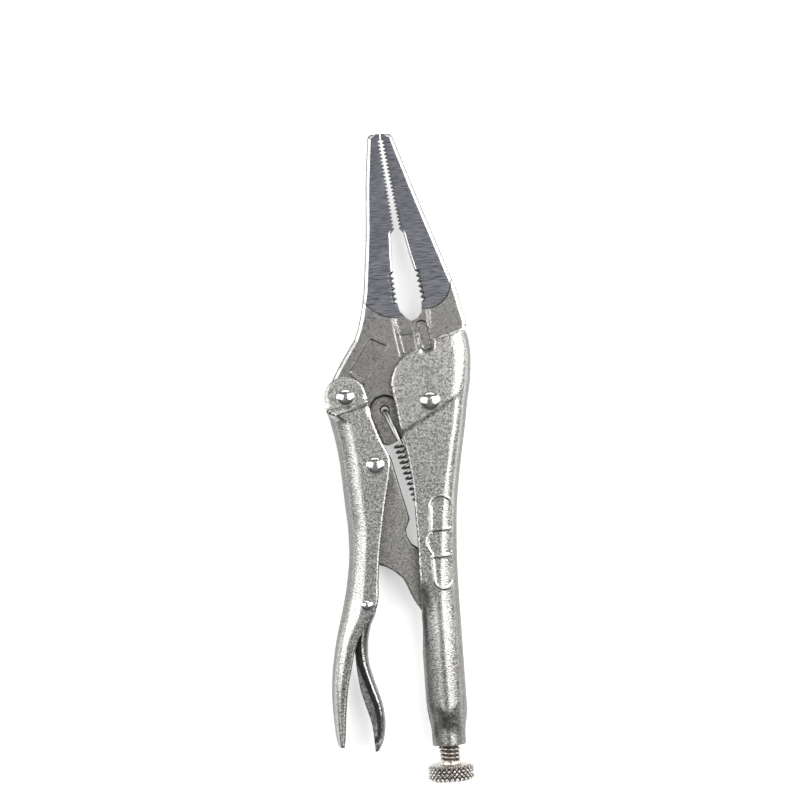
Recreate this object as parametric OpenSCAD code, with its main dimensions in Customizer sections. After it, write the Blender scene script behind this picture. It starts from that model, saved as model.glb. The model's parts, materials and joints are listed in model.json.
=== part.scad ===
// Long nose locking pliers, jaws closed and locked.
// The design plane is z = 0, half way through the tool: +Y runs along the adjusting screw towards the
// jaw tips, X = 0 is the screw's axis, and Y = 0 is level with the main pivot. Sizes are in millimetres.
// place() moves that plane up, so that the tool lies on z = 0 with the origin under its middle.

/* [Overall] */
// Jaw tips above the main pivot
jaw_reach = 94.3; // [80:0.1:120]
// Tube end below the main pivot
tube_reach = 120.2; // [114:0.1:150]
// Width across the handles' side walls, which is also the tube's diameter
handle_w = 14.2; // [12:0.1:18]
// Thickness of the handles' sheet
wall = 2.3; // [1.8:0.1:2.9]
// How far the pressed box around the main pivot stands proud
box_proud = 0.4; // [0.2:0.1:0.8]

/* [Linkage] */
// Main pivot
main_pivot = [1.7, 0]; // [-4:0.1:4]
// Pivot of the lower handle on the movable jaw
jaw_pivot = [-27.6, 3.3]; // [-40:0.1:10]
// Pivot of the toggle link on the lower handle
link_pivot = [-18.9, -21.0]; // [-30:0.1:0]
// Pivot of the release lever on the lower handle
lever_pivot = [-25.3, -69.3]; // [-90:0.1:0]
// Nose of the toggle link, on the screw's axis
link_nose_y = -76.3; // [-80:0.1:-70]
// Gap between the link's nose and the screw's tip
nose_gap = 3.3; // [3.2:0.1:6]

/* [Rivets] */
// Shank of the main rivet
main_rivet_d = 5.2; // [4:0.1:6.4]
// Head of the main rivet
main_head_d = 7.1; // [6.6:0.1:9]
// Shank of the two other handle rivets
side_rivet_d = 4.6; // [3.6:0.1:5.6]
// Head of the rivet between jaw and lower handle
jaw_head_d = 6.4; // [5.8:0.1:8]
// Head of the rivet between lower handle and link
link_head_d = 6.6; // [5.8:0.1:8]
// Shank of the lever's rivet
lever_rivet_d = 3.0; // [2.4:0.1:3.6]
// Head of the lever's rivet
lever_head_d = 4.6; // [4:0.1:6]
// Height of the domed heads
head_h = 1.3; // [0.8:0.1:1.8]
// Radial clearance of a rivet in a hole
rivet_fit = 0.05; // [0.02:0.01:0.1]

/* [Jaws] */
// Side clearance of a moving piece between two walls
side_gap = 0.1; // [0.05:0.01:0.2]
// Half thickness of the jaws at their tips
tip_half_t = 1.8; // [1.2:0.1:2.6]
// Depth of the ground cheek where it starts
cheek_step = 0.45; // [0.2:0.05:0.8]
// Lower end of the fine teeth
fine_teeth_y = 61; // [58:0.5:66]
// Number of fine teeth on each jaw
fine_teeth = 24; // [12:1:30]
// Depth of the fine teeth
fine_depth = 1.1; // [0.4:0.05:1.2]
// Number of teeth on each side of the pipe grip
grip_teeth = 6; // [4:1:8]
// Depth of the pipe grip's teeth
grip_depth = 1.15; // [0.6:0.05:1.4]
// Gap between the jaws along the wire cutter
cutter_gap = 0.3; // [0.2:0.05:0.6]
// Depth of the recess beside the wire cutter's edges
cutter_depth = 1.5; // [0.8:0.1:2.2]
// Radius of the movable jaw's lobe around the main pivot
lobe_r = 13.6; // [12.5:0.1:14.2]

/* [Spring] */
// Hole for the spring's upper hook
spring_hole = [-14.3, -2.1]; // [-16:0.1:0]
// Diameter of that hole
spring_hole_d = 3.4; // [2.6:0.1:4]
// Outer diameter of the coil
coil_d = 6.4; // [5:0.1:7]
// Wire of the spring
wire_d = 1.0; // [0.7:0.1:1.2]
// Number of turns
coil_turns = 16; // [10:1:20]

/* [Toggle link] */
// Thickness of the link's plate
link_t = 5.0; // [3.5:0.1:6]
// Radius of the link's hub
link_hub_r = 6.0; // [4.5:0.1:6.4]
// Radius of the link's nose
link_nose_r = 2.4; // [1.8:0.1:2.6]

/* [Release lever] */
// Thickness of the lever's sheet
lever_wall = 1.6; // [1:0.1:2]
// Play of the lever between the handle's walls, each side
lever_gap = 0.9; // [0.6:0.05:1.4]

/* [Screw] */
// Outer diameter of the thread
thread_d = 7.94; // [6:0.02:8.4]
// Pitch of the thread
thread_pitch = 1.41; // [1:0.01:2]
// Depth of the thread
thread_depth = 0.75; // [0.4:0.05:0.9]
// Radial clearance of the thread in the neck
thread_fit = 0.08; // [0.04:0.01:0.1]
// Diameter of the tube's neck
neck_d = 11.8; // [11:0.1:13]
// Thread showing between neck and knob
thread_shown = 6.6; // [4:0.1:12]
// Diameter of the knob
knob_d = 16.2; // [13:0.1:17]
// Length of the knob
knob_h = 5.9; // [4:0.1:9]

/* [Hidden] */

$fn = 48;
half_w = handle_w / 2;
inner_w = handle_w - 2 * wall;
inner_r = inner_w / 2;
jaw_t = inner_w - 2 * side_gap;
box_half = half_w + box_proud;
cut = 0.5;
channel_steps = 12;
channel_pitch = 4;
coil_steps = 12;
wire_sides = 6;
knob_end = tube_reach + thread_shown + knob_h;

// Middle of the closed tool's outline, and its half thickness
middle_x = -11.35;
middle = [middle_x, (jaw_reach - knob_end) / 2];
stand = max(box_half + head_h, knob_d / 2);

// Parting line of the wire cutter, from the pipe grip down to the lobe
part_top = [-2.8, 28.3];
part_low = [-1.0, 13.5];

steel = [0.70, 0.69, 0.67];
ground = [0.55, 0.56, 0.58];
bright = [0.82, 0.82, 0.82];

module place() {
    translate([-middle[0], -middle[1], stand]) children();
}

// Points of an arc
function arc(c, r, a0, a1, n = 12) =
    [for (i = [0 : n]) let (a = a0 + (a1 - a0) * i / n) c + r * [cos(a), sin(a)]];

// Point of the nose between the fine teeth's lower end (f = 0) and the tips (f = 1)
function nose(x, f) = [x, fine_teeth_y + f * (jaw_reach - fine_teeth_y)];

// A row of n teeth from a to b: tips on the line, roots deep to its left
function teeth(a, b, n, deep) =
    let (d = (b - a) / norm(b - a), side = [-d[1], d[0]])
    [for (i = [0 : n - 1]) for (p = [a + (b - a) * i / n, a + (b - a) * (i + 0.5) / n + side * deep]) p];

// ---------------------------------------------------------------- sheet metal channels

// Row i of a table of [y, back, edge], and the smooth curve through its rows at height y
function slope(rows, i, k) =
    let (a = rows[max(i - 1, 0)], b = rows[min(i + 1, len(rows) - 1)]) (b[k] - a[k]) / (b[0] - a[0]);
function hermite(p, q, m, n, h, t) =
    (1 + 2 * t) * (1 - t) * (1 - t) * p + t * (1 - t) * (1 - t) * h * m
    + t * t * (3 - 2 * t) * q + t * t * (t - 1) * h * n;
function curve(rows, y, k, i = 0) =
    i < len(rows) - 2 && y < rows[i + 1][0]
        ? curve(rows, y, k, i + 1)
        : let (a = rows[i], b = rows[i + 1], h = b[0] - a[0])
          hermite(a[k], b[k], slope(rows, i, k), slope(rows, i + 1, k), h, (y - a[0]) / h);

// Section of a channel at height y: a rounded back at x = back, legs running to x = edge
function channel_ring(y, back, edge, r, t) =
    let (
        side = sign(edge - back),
        deep = abs(edge - back),
        round_d = min(r, 0.6 * deep),
        sheet = min(t, 0.45 * deep),
        round_in = round_d - sheet,
        n = channel_steps
    )
    [for (p = concat(
        [[deep, r]],
        [for (i = [0 : n]) let (a = 90 - 180 * i / n) [round_d * (1 - cos(a)), r * sin(a)]],
        [[deep, -r], [deep, sheet - r]],
        [for (i = [0 : n]) let (a = -90 + 180 * i / n)
            [sheet + round_in * (1 - cos(a)), (r - sheet) * sin(a)]],
        [[deep, r - sheet]]
    )) [back + side * p[0], y, p[1]]];

// Closed skin over rings that all have the same, even number of points. Both ends are closed by a
// strip across the ring, so a ring may be folded into a U
module skin(rings) {
    n = len(rings[0]);
    last = (len(rings) - 1) * n;
    polyhedron(
        points = [for (ring = rings) for (p = ring) p],
        faces = concat(
            [for (k = [0 : n / 2 - 2]) each [[k + 1, k, n - 1 - k], [k + 1, n - 1 - k, n - 2 - k]]],
            [for (j = [0 : n : last - n]) for (i = [0 : n - 1])
                let (a = j + i, b = j + (i + 1) % n) each [[a, b, b + n], [a, b + n, a + n]]],
            [for (k = [0 : n / 2 - 2]) each [
                [last + k, last + k + 1, last + n - 1 - k],
                [last + k + 1, last + n - 2 - k, last + n - 1 - k]]]
        )
    );
}

module channel(rows, r, t) {
    top = rows[0][0];
    low = rows[len(rows) - 1][0];
    n = ceil((top - low) / channel_pitch);
    rings = [for (i = [0 : n]) let (y = top + (low - top) * i / n)
        channel_ring(y, curve(rows, y, 1), curve(rows, y, 2), r, t)];
    if (rows[0][1] > rows[0][2]) skin(rings);
    else skin([for (ring = rings) [for (i = [len(ring) - 1 : -1 : 0]) ring[i]]]);
}

// A plate with the given outline, centred on the design plane
module plate(points, t) {
    linear_extrude(t, center = true) polygon(points);
}

// A hole for a rivet, right through the tool
module rivet_hole(p, d) {
    translate([p[0], p[1], 0]) cylinder(d = d + 2 * rivet_fit, h = 4 * half_w, center = true);
}

// Shank and two domed heads, which lie on the faces at z = +face and -face
module rivet(p, shank_d, head_d, face) {
    dome_r = (head_d * head_d / 4 + head_h * head_h) / (2 * head_h);
    translate([p[0], p[1], 0]) {
        cylinder(d = shank_d, h = 2 * face, center = true);
        for (side = [0, 1]) mirror([0, 0, side])
            intersection() {
                translate([0, 0, face + head_h - dome_r]) sphere(dome_r);
                translate([0, 0, face]) cylinder(d = head_d, h = head_h + cut);
            }
    }
}

// ---------------------------------------------------------------- fixed handle

// Closed tube: its top, and the lower end of the slot that lets the link in
tube_top = 74;
slot_end = 88;
slot_gap = 0.5;
// Its wall stands proud of the channel's on both sides where one runs into the other
tube_skin = 0.05;
// Height, back and leg edge of the fixed handle's channel
handle_rows = [
    [24.6, 15.9, -11.4], [20, 16.8, -11.4], [15.3, 17.1, -11.4], [6.5, 16.3, -11.4],
    [-0.4, 14.9, -10.4], [-9.4, 13.4, -9.2], [-18, 11.7, -7.6], [-28, 9.9, -6.4],
    [-38.2, 8.5, -6.25], [-52, half_w + 0.4, -6.1], [-64, half_w + 0.05, -6.3], [-tube_top - 1, half_w, -6.3]
];
// The full thickness of what sits in the channel ends this far over, where the round back begins
function inside_x(y) = curve(handle_rows, y, 1) - half_w;
corner_c = [1.6, 5.6];
corner_r = 13.1;
notch_c = [1.6, 19.8];
notch_r = 2.9;
shoulder_y = tube_reach - 13.2;
neck_y = tube_reach - 5.5;

// Everything above the channel's slanted top edge and outside its rounded corner
handle_top_cut = concat(
    [[-30, 40], [-30, 6.8]], arc(corner_c, corner_r, 175, 104),
    [[4.6, 21.8], [14.6, 24.2], [30, 24.2], [30, 40]]
);
// Face of the pressed box on the channel's flat side wall
box_face = concat(
    [[3.4, -4.4], [-8.2, -10.4], [-9.2, -8.6], [-10.4, -0.4], [-11.2, 4.5]],
    arc(corner_c, corner_r, 175, 104),
    [[4.6, 21.8], [9.0, 22.8], [9.4, 14], [8.6, 4], [7.4, -1.6]]
);

module fixed_handle() {
    color(steel) place() difference() {
        union() {
            channel(handle_rows, half_w, wall);
            for (side = [0, 1]) mirror([0, 0, side])
                translate([0, 0, half_w - wall / 2]) linear_extrude(wall / 2 + box_proud) polygon(box_face);
            tube();
        }
        plate(handle_top_cut, 4 * half_w);
        translate([notch_c[0], notch_c[1], 0]) cylinder(r = notch_r, h = 4 * half_w, center = true);
        rivet_hole(main_pivot, main_rivet_d);
    }
}

// Tube, shoulder and neck, bored for the thread, with the slot for the link
module tube() {
    bore_r = thread_d / 2 + thread_fit;
    outer = half_w + tube_skin;
    inner = inner_r - tube_skin;
    difference() {
        rotate([90, 0, 0]) rotate_extrude()
            polygon([
                [inner, tube_top], [outer, tube_top], [outer, shoulder_y], [neck_d / 2, neck_y],
                [neck_d / 2, tube_reach], [bore_r, tube_reach], [bore_r, neck_y], [inner, shoulder_y]
            ]);
        slot_w = link_t + 2 * slot_gap;
        translate([-2 * half_w, -slot_end, -slot_w / 2])
            cube([2 * half_w, slot_end - tube_top + cut, slot_w]);
    }
}

module main_pivot_rivet() {
    color(bright) place() rivet(main_pivot, main_rivet_d, main_head_d, box_half);
}

// Tab inside the channel that the spring's lower hook pulls on
tab_y = -50;
tab_hole = [1.2, tab_y];
tab_hole_d = 2.4;
tab_t = 1.6;
tab_r = 2.1;
tab_foot = 6;
// Clear of the channel's back, so that it stays a piece of its own
tab_gap = 0.35;

module spring_anchor_tab() {
    back = curve(handle_rows, tab_y, 1) - wall - tab_gap;
    color(steel) place() difference() {
        hull() {
            translate([tab_hole[0], tab_hole[1], 0]) cylinder(r = tab_r, h = tab_t, center = true);
            translate([back - 0.5, tab_hole[1], 0]) cube([1, tab_foot, tab_t], center = true);
        }
        translate([tab_hole[0], tab_hole[1], 0]) cylinder(d = tab_hole_d, h = 2 * tab_t, center = true);
    }
}

// ---------------------------------------------------------------- jaws

function part_x(y, side) =
    part_top[0] + (part_low[0] - part_top[0]) * (part_top[1] - y) / (part_top[1] - part_low[1])
    + side * cutter_gap / 2;
function parting(side) = [[part_x(part_top[1], side), part_top[1]], [part_x(part_low[1], side), part_low[1]]];

// Arcs where the ground cheeks end
fixed_cheek_c = [2.5, 41.5];
fixed_cheek_r = 9.4;
movable_cheek_c = [-7.5, 43.3];
movable_cheek_r = 13.6;

// Half thickness of the ground cheeks at height y
cheek_low_y = 30;
function cheek_half(y) =
    let (low = jaw_t / 2 - cheek_step)
    low + (tip_half_t - low) * (y - cheek_low_y) / (jaw_reach - cheek_low_y);

// What the grinding wheel takes off both faces: above the arc, down to the sloping cheek
module cheek_cut(c, r) {
    top = jaw_reach + cut;
    for (side = [0, 1]) mirror([0, 0, side]) intersection() {
        linear_extrude(half_w) union() {
            translate(c) circle(r, $fn = 96);
            translate([c[0] - 30, c[1]]) square([60, top - c[1] + cut]);
        }
        translate([-60, 0, 0]) rotate([90, 0, 90]) linear_extrude(120)
            polygon([[20, cheek_half(20)], [top + 2, cheek_half(top + 2)], [top + 2, 20], [20, 20]]);
    }
}

// Bevelled pocket on both faces beside the wire cutter's edges
cutter_pocket = [[-7.4, 24.1], [-8.8, 27.6], [-9.2, 31], [3, 33], [3.1, 26.3], [2.2, 25.2]];

module cutter_cut() {
    for (side = [0, 1]) mirror([0, 0, side])
        translate([0, 0, jaw_t / 2 - cutter_depth]) linear_extrude(half_w) polygon(cutter_pocket);
}

// The tenon's side in the channel, and the socket round the movable jaw's lobe
tenon_x = inside_x(23.1) - 0.05;
socket_r = lobe_r + 0.4;
socket_a = acos((tenon_x - main_pivot[0]) / socket_r);

fixed_outline = concat(
    [[-8.7, jaw_reach], [-6.0, jaw_reach], [-4.9, jaw_reach - 0.9]],
    [nose(2.7, 0.27), [13.7, 37.9], [16.0, 27.6], [16.1, 24.8], [tenon_x, 23.1], [tenon_x, 14]],
    arc(main_pivot, socket_r, socket_a, 99),
    [[part_x(part_top[1], 1), part_top[1]], [-0.5, 29.2], [1.0, 31.1], [1.2, 34.0]],
    teeth([1.2, 34.6], [-0.3, 45.8], grip_teeth, -grip_depth),
    [[-0.3, 45.8], [-1.8, 51.6], [-3.4, 59.4]],
    teeth([-4.8, fine_teeth_y], nose(-8.9, 0.94), fine_teeth, -fine_depth),
    [nose(-8.9, 0.94)]
);

// Slot-shaped recess at the foot of the fixed jaw, beside the cutter
recess_r = 2;

module fixed_jaw() {
    color(ground) place() difference() {
        plate(fixed_outline, inner_w);
        cheek_cut(fixed_cheek_c, fixed_cheek_r);
        cutter_cut();
        for (side = [0, 1]) mirror([0, 0, side])
            translate([0, 0, jaw_t / 2 - cutter_depth]) linear_extrude(half_w) hull() {
                translate([0.6, 26.5]) circle(recess_r);
                translate([1.7, 19.6]) circle(recess_r);
            }
    }
}

boss_r = 6.8;
hub_r = inside_x(main_pivot[1]) - main_pivot[0] - 0.5;
lobe_a = acos((tenon_x - 1 - main_pivot[0]) / lobe_r);
movable_outline = concat(
    [[-9.5, jaw_reach], [-12.6, jaw_reach], [-13.65, jaw_reach - 1.1]],
    [nose(-15.3, 0.49), [-16.5, 59.3], [-18.7, 39.1], [-20.2, 31.6]],
    [[-23.1, 23.1], [-25.2, 20.1], [-29.4, 13.7]],
    arc(jaw_pivot, boss_r, 140, 300),
    [[-18.6, -9.5], [-16.2, -13.4], [-13.4, -14.4], [-8.4, -12.2]],
    arc(main_pivot, hub_r, 235, 360), [[inside_x(8) - 2.4, 8]], arc(main_pivot, lobe_r, lobe_a, 104),
    [[part_x(part_top[1], -1), part_top[1]], [-4.6, 29.6], [-6.5, 31.8], [-7.1, 34.0]],
    teeth([-7.2, 34.6], [-8.0, 45.4], grip_teeth, grip_depth),
    [[-8.0, 45.8], [-8.1, 50], [-7.9, 59.2]],
    teeth([-6.5, fine_teeth_y], nose(-9.3, 0.94), fine_teeth, fine_depth),
    [nose(-9.3, 0.94)]
);

// Blank framed pad on the movable jaw
pad_corners = [[-26.1, 12.3], [-17.6, 23.9], [-11.1, 20.5], [-20.5, 7.3]];
pad_h = 0.3;
pad_frame = 0.7;
hook_half = coil_d / 2 - wire_d / 2;
hook_gap = 0.2;
pocket_mouth = [-9.5, -15];
pocket_r = 5.4;

module movable_jaw() {
    color(steel) place() difference() {
        union() {
            plate(movable_outline, jaw_t);
            linear_extrude(jaw_t + 2 * pad_h, center = true) difference() {
                polygon(pad_corners);
                offset(delta = -pad_frame) polygon(pad_corners);
            }
        }
        cheek_cut(movable_cheek_c, movable_cheek_r);
        cutter_cut();
        spring_pocket();
        translate([spring_hole[0], spring_hole[1], 0])
            cylinder(d = spring_hole_d, h = 4 * half_w, center = true);
        rivet_hole(main_pivot, main_rivet_d);
        rivet_hole(jaw_pivot, side_rivet_d);
    }
}

// Both faces of the tail are thinned round the spring's hook
module spring_pocket() {
    web_half = hook_half - wire_d / 2 - hook_gap;
    for (side = [0, 1]) mirror([0, 0, side])
        translate([0, 0, web_half]) linear_extrude(half_w) hull() {
            translate(spring_hole) circle(pocket_r);
            translate(pocket_mouth) circle(pocket_r);
        }
}

module jaw_handle_rivet() {
    color(bright) place() rivet(jaw_pivot, side_rivet_d, jaw_head_d, half_w);
}

// ---------------------------------------------------------------- spring

spring_top = [-9.1, -14.2];
spring_low = [-1.0, -44.2];

// Point at distance s below the spring's upper end, u to its side and z above the plane
function spring_point(s, u, z) =
    let (d = (spring_low - spring_top) / norm(spring_low - spring_top))
    [spring_top[0] + s * d[0] - u * d[1], spring_top[1] + s * d[1] + u * d[0], z];

spring_run = concat(
    [[spring_hole[0], spring_hole[1], -hook_half], [spring_hole[0], spring_hole[1], hook_half - 0.8],
        [spring_hole[0] + 0.3, spring_hole[1] - 0.7, hook_half]],
    [for (i = [0 : coil_turns * coil_steps]) let (a = 90 + 360 * i / coil_steps)
        spring_point(i / (coil_turns * coil_steps) * norm(spring_low - spring_top),
            hook_half * cos(a), hook_half * sin(a))],
    [[tab_hole[0] - 0.2, tab_hole[1] + 0.8, hook_half], [tab_hole[0], tab_hole[1], hook_half - 0.8],
        [tab_hole[0], tab_hole[1], -hook_half]]
);

module opening_spring() {
    color(bright) place() skin([for (i = [0 : len(spring_run) - 1]) wire_ring(spring_run, i, wire_d / 2)]);
}

// Ring of the wire round point i of its run, square to the run
function wire_ring(run, i, r) =
    let (
        t0 = run[min(i + 1, len(run) - 1)] - run[max(i - 1, 0)],
        t = t0 / norm(t0),
        up = abs(t[2]) > 0.8 ? [1, 0, 0] : [0, 0, 1],
        u0 = cross(t, up),
        u = u0 / norm(u0),
        v = cross(t, u)
    )
    [for (k = [0 : wire_sides - 1]) let (a = -360 * k / wire_sides) run[i] + r * (cos(a) * u + sin(a) * v)];

// ---------------------------------------------------------------- lower handle

lower_rows = [
    [-3.5, -33.9, -19.3], [-11.2, -32.4, -16.8], [-18.9, -31.4, -13.7], [-25.5, -31.0, -14.4],
    [-34, -30.6, -16.3], [-42.7, -30.1, -18.0], [-52.5, -30.4, -19.7], [-62, -31.9, -20.8],
    [-70, -33.8, -21.8], [-77, -35.8, -26.6], [-82, -37.1, -29.6], [-90.5, -38.8, -32.0],
    [-99, -39.75, -34.1], [-107, -39.8, -35.3], [-114, -39.2, -36.2], [-118.2, -38.3, -36.9]
];
ear_r = 7.3;

module lower_handle() {
    ear = concat(
        arc(jaw_pivot, ear_r, 5, 175),
        [[-34.6, -1], [-33.9, -3.6], [-26, -8], [-18.9, -3.6], [-19.7, 0]]
    );
    color(steel) place() difference() {
        union() {
            channel(lower_rows, half_w, wall);
            for (side = [0, 1]) mirror([0, 0, side])
                translate([0, 0, inner_r]) linear_extrude(wall) polygon(ear);
        }
        rivet_hole(jaw_pivot, side_rivet_d);
        rivet_hole(link_pivot, side_rivet_d);
        rivet_hole(lever_pivot, lever_rivet_d);
    }
}

module link_rivet() {
    color(bright) place() rivet(link_pivot, side_rivet_d, link_head_d, half_w);
}

module lever_rivet() {
    color(bright) place() rivet(lever_pivot, lever_rivet_d, lever_head_d, half_w);
}

// ---------------------------------------------------------------- toggle link

link_nose = [0, link_nose_y];
// Full-width hub, clear of the lower handle's round back
hub_gap = 0.15;
hub_disc_r = link_pivot[0] - curve(lower_rows, link_pivot[1], 1) - half_w - hub_gap;
link_outline = concat(
    arc(link_pivot, link_hub_r, 20, 195),
    [[-24.0, -34], [-23.6, -48], [-22.6, -55.2], [-20.2, -55.9], [-17.7, -56.7], [-15.1, -58.3],
        [-12.1, -61.1], [-10.9, -63.6], [-10.0, -66.1], [-8.6, -69.2], [-5.4, -74.4]],
    arc(link_nose, link_nose_r, 225, 350),
    [[2.6, -71], [0.8, -62], [-2.4, -55], [-5.9, -51.1]],
    [[-8.2, -49.4], [-9.7, -46.6], [-9.9, -44.2], [-8.3, -40.6]]
);

module toggle_link() {
    color(steel) place() difference() {
        union() {
            plate(link_outline, link_t);
            translate([link_pivot[0], link_pivot[1], 0])
                cylinder(r = hub_disc_r, h = jaw_t, center = true);
        }
        rivet_hole(link_pivot, side_rivet_d);
    }
}

// ---------------------------------------------------------------- release lever

lever_half = inner_r - lever_gap;
lever_rows = [
    [-68.2, -21.7, -28.5], [-72.6, -22.5, -29.5], [-77.3, -24.6, -30.3], [-83.5, -25.9, -30.7],
    [-89.4, -26.0, -30.6], [-94.4, -25.0, -30.2], [-99.4, -23.6, -29.6], [-104.4, -22.3, -28.3],
    [-111, -21.8, -26.6], [-117.2, -22.8, -26.1], [-120.6, -24.5, -26.0]
];
lever_nose = [
    [-28.5, -72], [-28.5, -67.4], [-26.2, -59.2], [-25.3, -58.4], [-23.9, -58.4], [-23.0, -59.2],
    [-21.6, -67.4], [-21.7, -70], [-22.6, -72]
];

module release_lever() {
    color(steel) place() difference() {
        union() {
            channel(lever_rows, lever_half, lever_wall);
            plate(lever_nose, 2 * lever_half);
        }
        // the nose is a folded plate too, closed only along its upper end
        translate([0, 0, lever_wall - lever_half]) linear_extrude(2 * (lever_half - lever_wall))
            polygon([
                [-40, -80], [-40, -66], [-24.4, -61.5], [-23.6, -68], [-23.6, -70], [-24.4, -73], [-27, -80]
            ]);
        rivet_hole(lever_pivot, lever_rivet_d);
    }
}

// ---------------------------------------------------------------- screw

screw_tip = -(link_nose_y - link_nose_r - nose_gap);
knob_top = tube_reach + thread_shown;

// Plain lengths below the first groove and above the last
plain_tip = 3;
plain_end = 1.2;
tip_bevel = 0.7;
// One groove and crest: share of the depth, share of the pitch
thread_form = [[0, 0.05], [1, 0.3], [1, 0.5], [0, 0.8]];

// Grooves of the thread, from the tip to just short of the knob
module adjusting_screw() {
    r = thread_d / 2;
    root = r - thread_depth;
    first = screw_tip + plain_tip;
    n = floor((knob_top - plain_end - first) / thread_pitch);
    color(bright) place() rotate([90, 0, 0]) rotate_extrude()
        polygon(concat(
            [[0, screw_tip], [root - tip_bevel, screw_tip]],
            [[root, screw_tip + 1.5 * tip_bevel], [root, first]],
            [for (i = [0 : n - 1]) let (s = first + i * thread_pitch)
                each [for (p = thread_form) [root + p[0] * thread_depth, s + p[1] * thread_pitch]]],
            [[root + thread_depth / 2, first + (n + 0.2) * thread_pitch],
                [root + thread_depth / 2, knob_top], [0, knob_top]]
        ));
}

// Knurled knob: a chamfered disc with flutes round its rim
knob_flutes = 40;
flute_r = 0.55;
flute_out = 0.25;
knob_chamfer = 0.8;
knob_face = 2;
knob_slope = 0.3;

module screw_knob() {
    r = knob_d / 2;
    color(bright) place() rotate([90, 0, 0]) difference() {
        rotate_extrude()
            polygon([
                [0, knob_top], [r - knob_face, knob_top], [r - knob_chamfer, knob_top + knob_slope],
                [r, knob_top + knob_slope + knob_chamfer],
                [r, knob_end - knob_chamfer], [r - knob_chamfer, knob_end], [0, knob_end]
            ]);
        for (i = [0 : knob_flutes - 1]) rotate([0, 0, 360 * i / knob_flutes])
            translate([r + flute_out, 0, knob_top - cut])
                cylinder(r = flute_r, h = knob_h + 2 * cut, $fn = 16);
    }
}

fixed_handle();
fixed_jaw();
main_pivot_rivet();
spring_anchor_tab();
opening_spring();
movable_jaw();
jaw_handle_rivet();
lower_handle();
link_rivet();
lever_rivet();
toggle_link();
release_lever();
adjusting_screw();
screw_knob();
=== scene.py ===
"""Long nose locking pliers: the looks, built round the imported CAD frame.

Shapes are drawn in millimetres in the design frame of the tool: x = 0 on the adjusting screw's axis,
y = 0 level with the main pivot, z = 0 half way through the thickness. new_object() turns them into
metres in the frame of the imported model.
"""
import json
import math

import bmesh
import bpy
import numpy as np
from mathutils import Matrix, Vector, geometry


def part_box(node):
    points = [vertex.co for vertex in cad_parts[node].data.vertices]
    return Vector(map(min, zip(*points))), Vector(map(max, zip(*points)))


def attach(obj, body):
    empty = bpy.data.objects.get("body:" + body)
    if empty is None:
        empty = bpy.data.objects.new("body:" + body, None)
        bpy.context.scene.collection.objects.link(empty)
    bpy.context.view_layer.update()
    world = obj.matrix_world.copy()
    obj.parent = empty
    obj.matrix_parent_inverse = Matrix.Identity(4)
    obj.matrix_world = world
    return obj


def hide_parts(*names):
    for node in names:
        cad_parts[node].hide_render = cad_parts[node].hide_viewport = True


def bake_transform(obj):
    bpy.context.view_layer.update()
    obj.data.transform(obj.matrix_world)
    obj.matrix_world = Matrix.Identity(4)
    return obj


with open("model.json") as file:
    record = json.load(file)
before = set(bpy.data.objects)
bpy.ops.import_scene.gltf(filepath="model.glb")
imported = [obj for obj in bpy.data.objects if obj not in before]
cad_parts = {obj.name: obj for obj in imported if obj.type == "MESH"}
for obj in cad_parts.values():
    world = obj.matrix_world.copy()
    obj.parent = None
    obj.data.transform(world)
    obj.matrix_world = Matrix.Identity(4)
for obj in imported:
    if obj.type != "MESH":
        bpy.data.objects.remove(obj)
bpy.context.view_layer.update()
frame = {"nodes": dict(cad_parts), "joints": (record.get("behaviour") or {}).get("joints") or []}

MM = 0.001
# Points compared at once, and distances in metres below which points are merged
CHUNK = 1500
MERGE = 2e-7
JOINTS = {j["name"]: j for j in frame["joints"]}


# ---------- frame and sizes

def box_mm(node):
    low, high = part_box(node)
    return np.array(low) / MM, np.array(high) / MM


screw_low, screw_high = box_mm("adjusting_screw")
main_at = np.array(JOINTS["jaw_open"]["pos_m"]) / MM
ORIGIN = np.array([(screw_low[0] + screw_high[0]) / 2, main_at[1], main_at[2]])


def design(point_m):
    """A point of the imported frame, in metres, as x and y of the design frame."""
    return (np.array(point_m) / MM - ORIGIN)[:2]


def half_z(node):
    """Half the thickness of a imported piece, in mm."""
    low, high = box_mm(node)
    return (high[2] - low[2]) / 2


MAIN, JAW, LINK, LEVER = [design(JOINTS[name]["pos_m"]) for name in
                          ("jaw_open", "handle_swing", "link_swing", "lever_press")]

# Half thicknesses: the handles' width, the boxed part round the jaws, and inside the sheet
HALF_W = half_z("lower_handle")
BOX_HALF = half_z("fixed_handle")
INNER = half_z("fixed_jaw")
WALL = HALF_W - INNER
HEAD_TOP = half_z("main_pivot_rivet")
HEAD_H = HEAD_TOP - BOX_HALF
LINK_HALF = 2.5
LEVER_HALF = half_z("release_lever")
JAW_HALF = INNER - 0.1
JAW_REACH = box_mm("fixed_jaw")[1][1] - ORIGIN[1]
TUBE_END = box_mm("fixed_handle")[0][1] - ORIGIN[1]
KNOB_LOW = box_mm("screw_knob")[0] - ORIGIN
KNOB_HIGH = box_mm("screw_knob")[1] - ORIGIN
THREAD_R = (screw_high[0] - screw_low[0]) / 2
SCREW_TIP = screw_high[1] - ORIGIN[1]


# ---------- outlines

def curve(table, y, k):
    """Column k of a table of [y, ...] rows at height y, through a smooth curve."""
    y = np.asarray(y, float)
    ys, vs = table[:, 0], table[:, k]
    lo = np.maximum(np.arange(len(ys)) - 1, 0)
    hi = np.minimum(np.arange(len(ys)) + 1, len(ys) - 1)
    slopes = (vs[hi] - vs[lo]) / (ys[hi] - ys[lo])
    i = np.clip(np.searchsorted(-ys, -y, side="right") - 1, 0, len(ys) - 2)
    h = ys[i + 1] - ys[i]
    t = (y - ys[i]) / h
    return ((1 + 2 * t) * (1 - t) ** 2 * vs[i] + t * (1 - t) ** 2 * h * slopes[i]
            + t * t * (3 - 2 * t) * vs[i + 1] + t * t * (t - 1) * h * slopes[i + 1])


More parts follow.
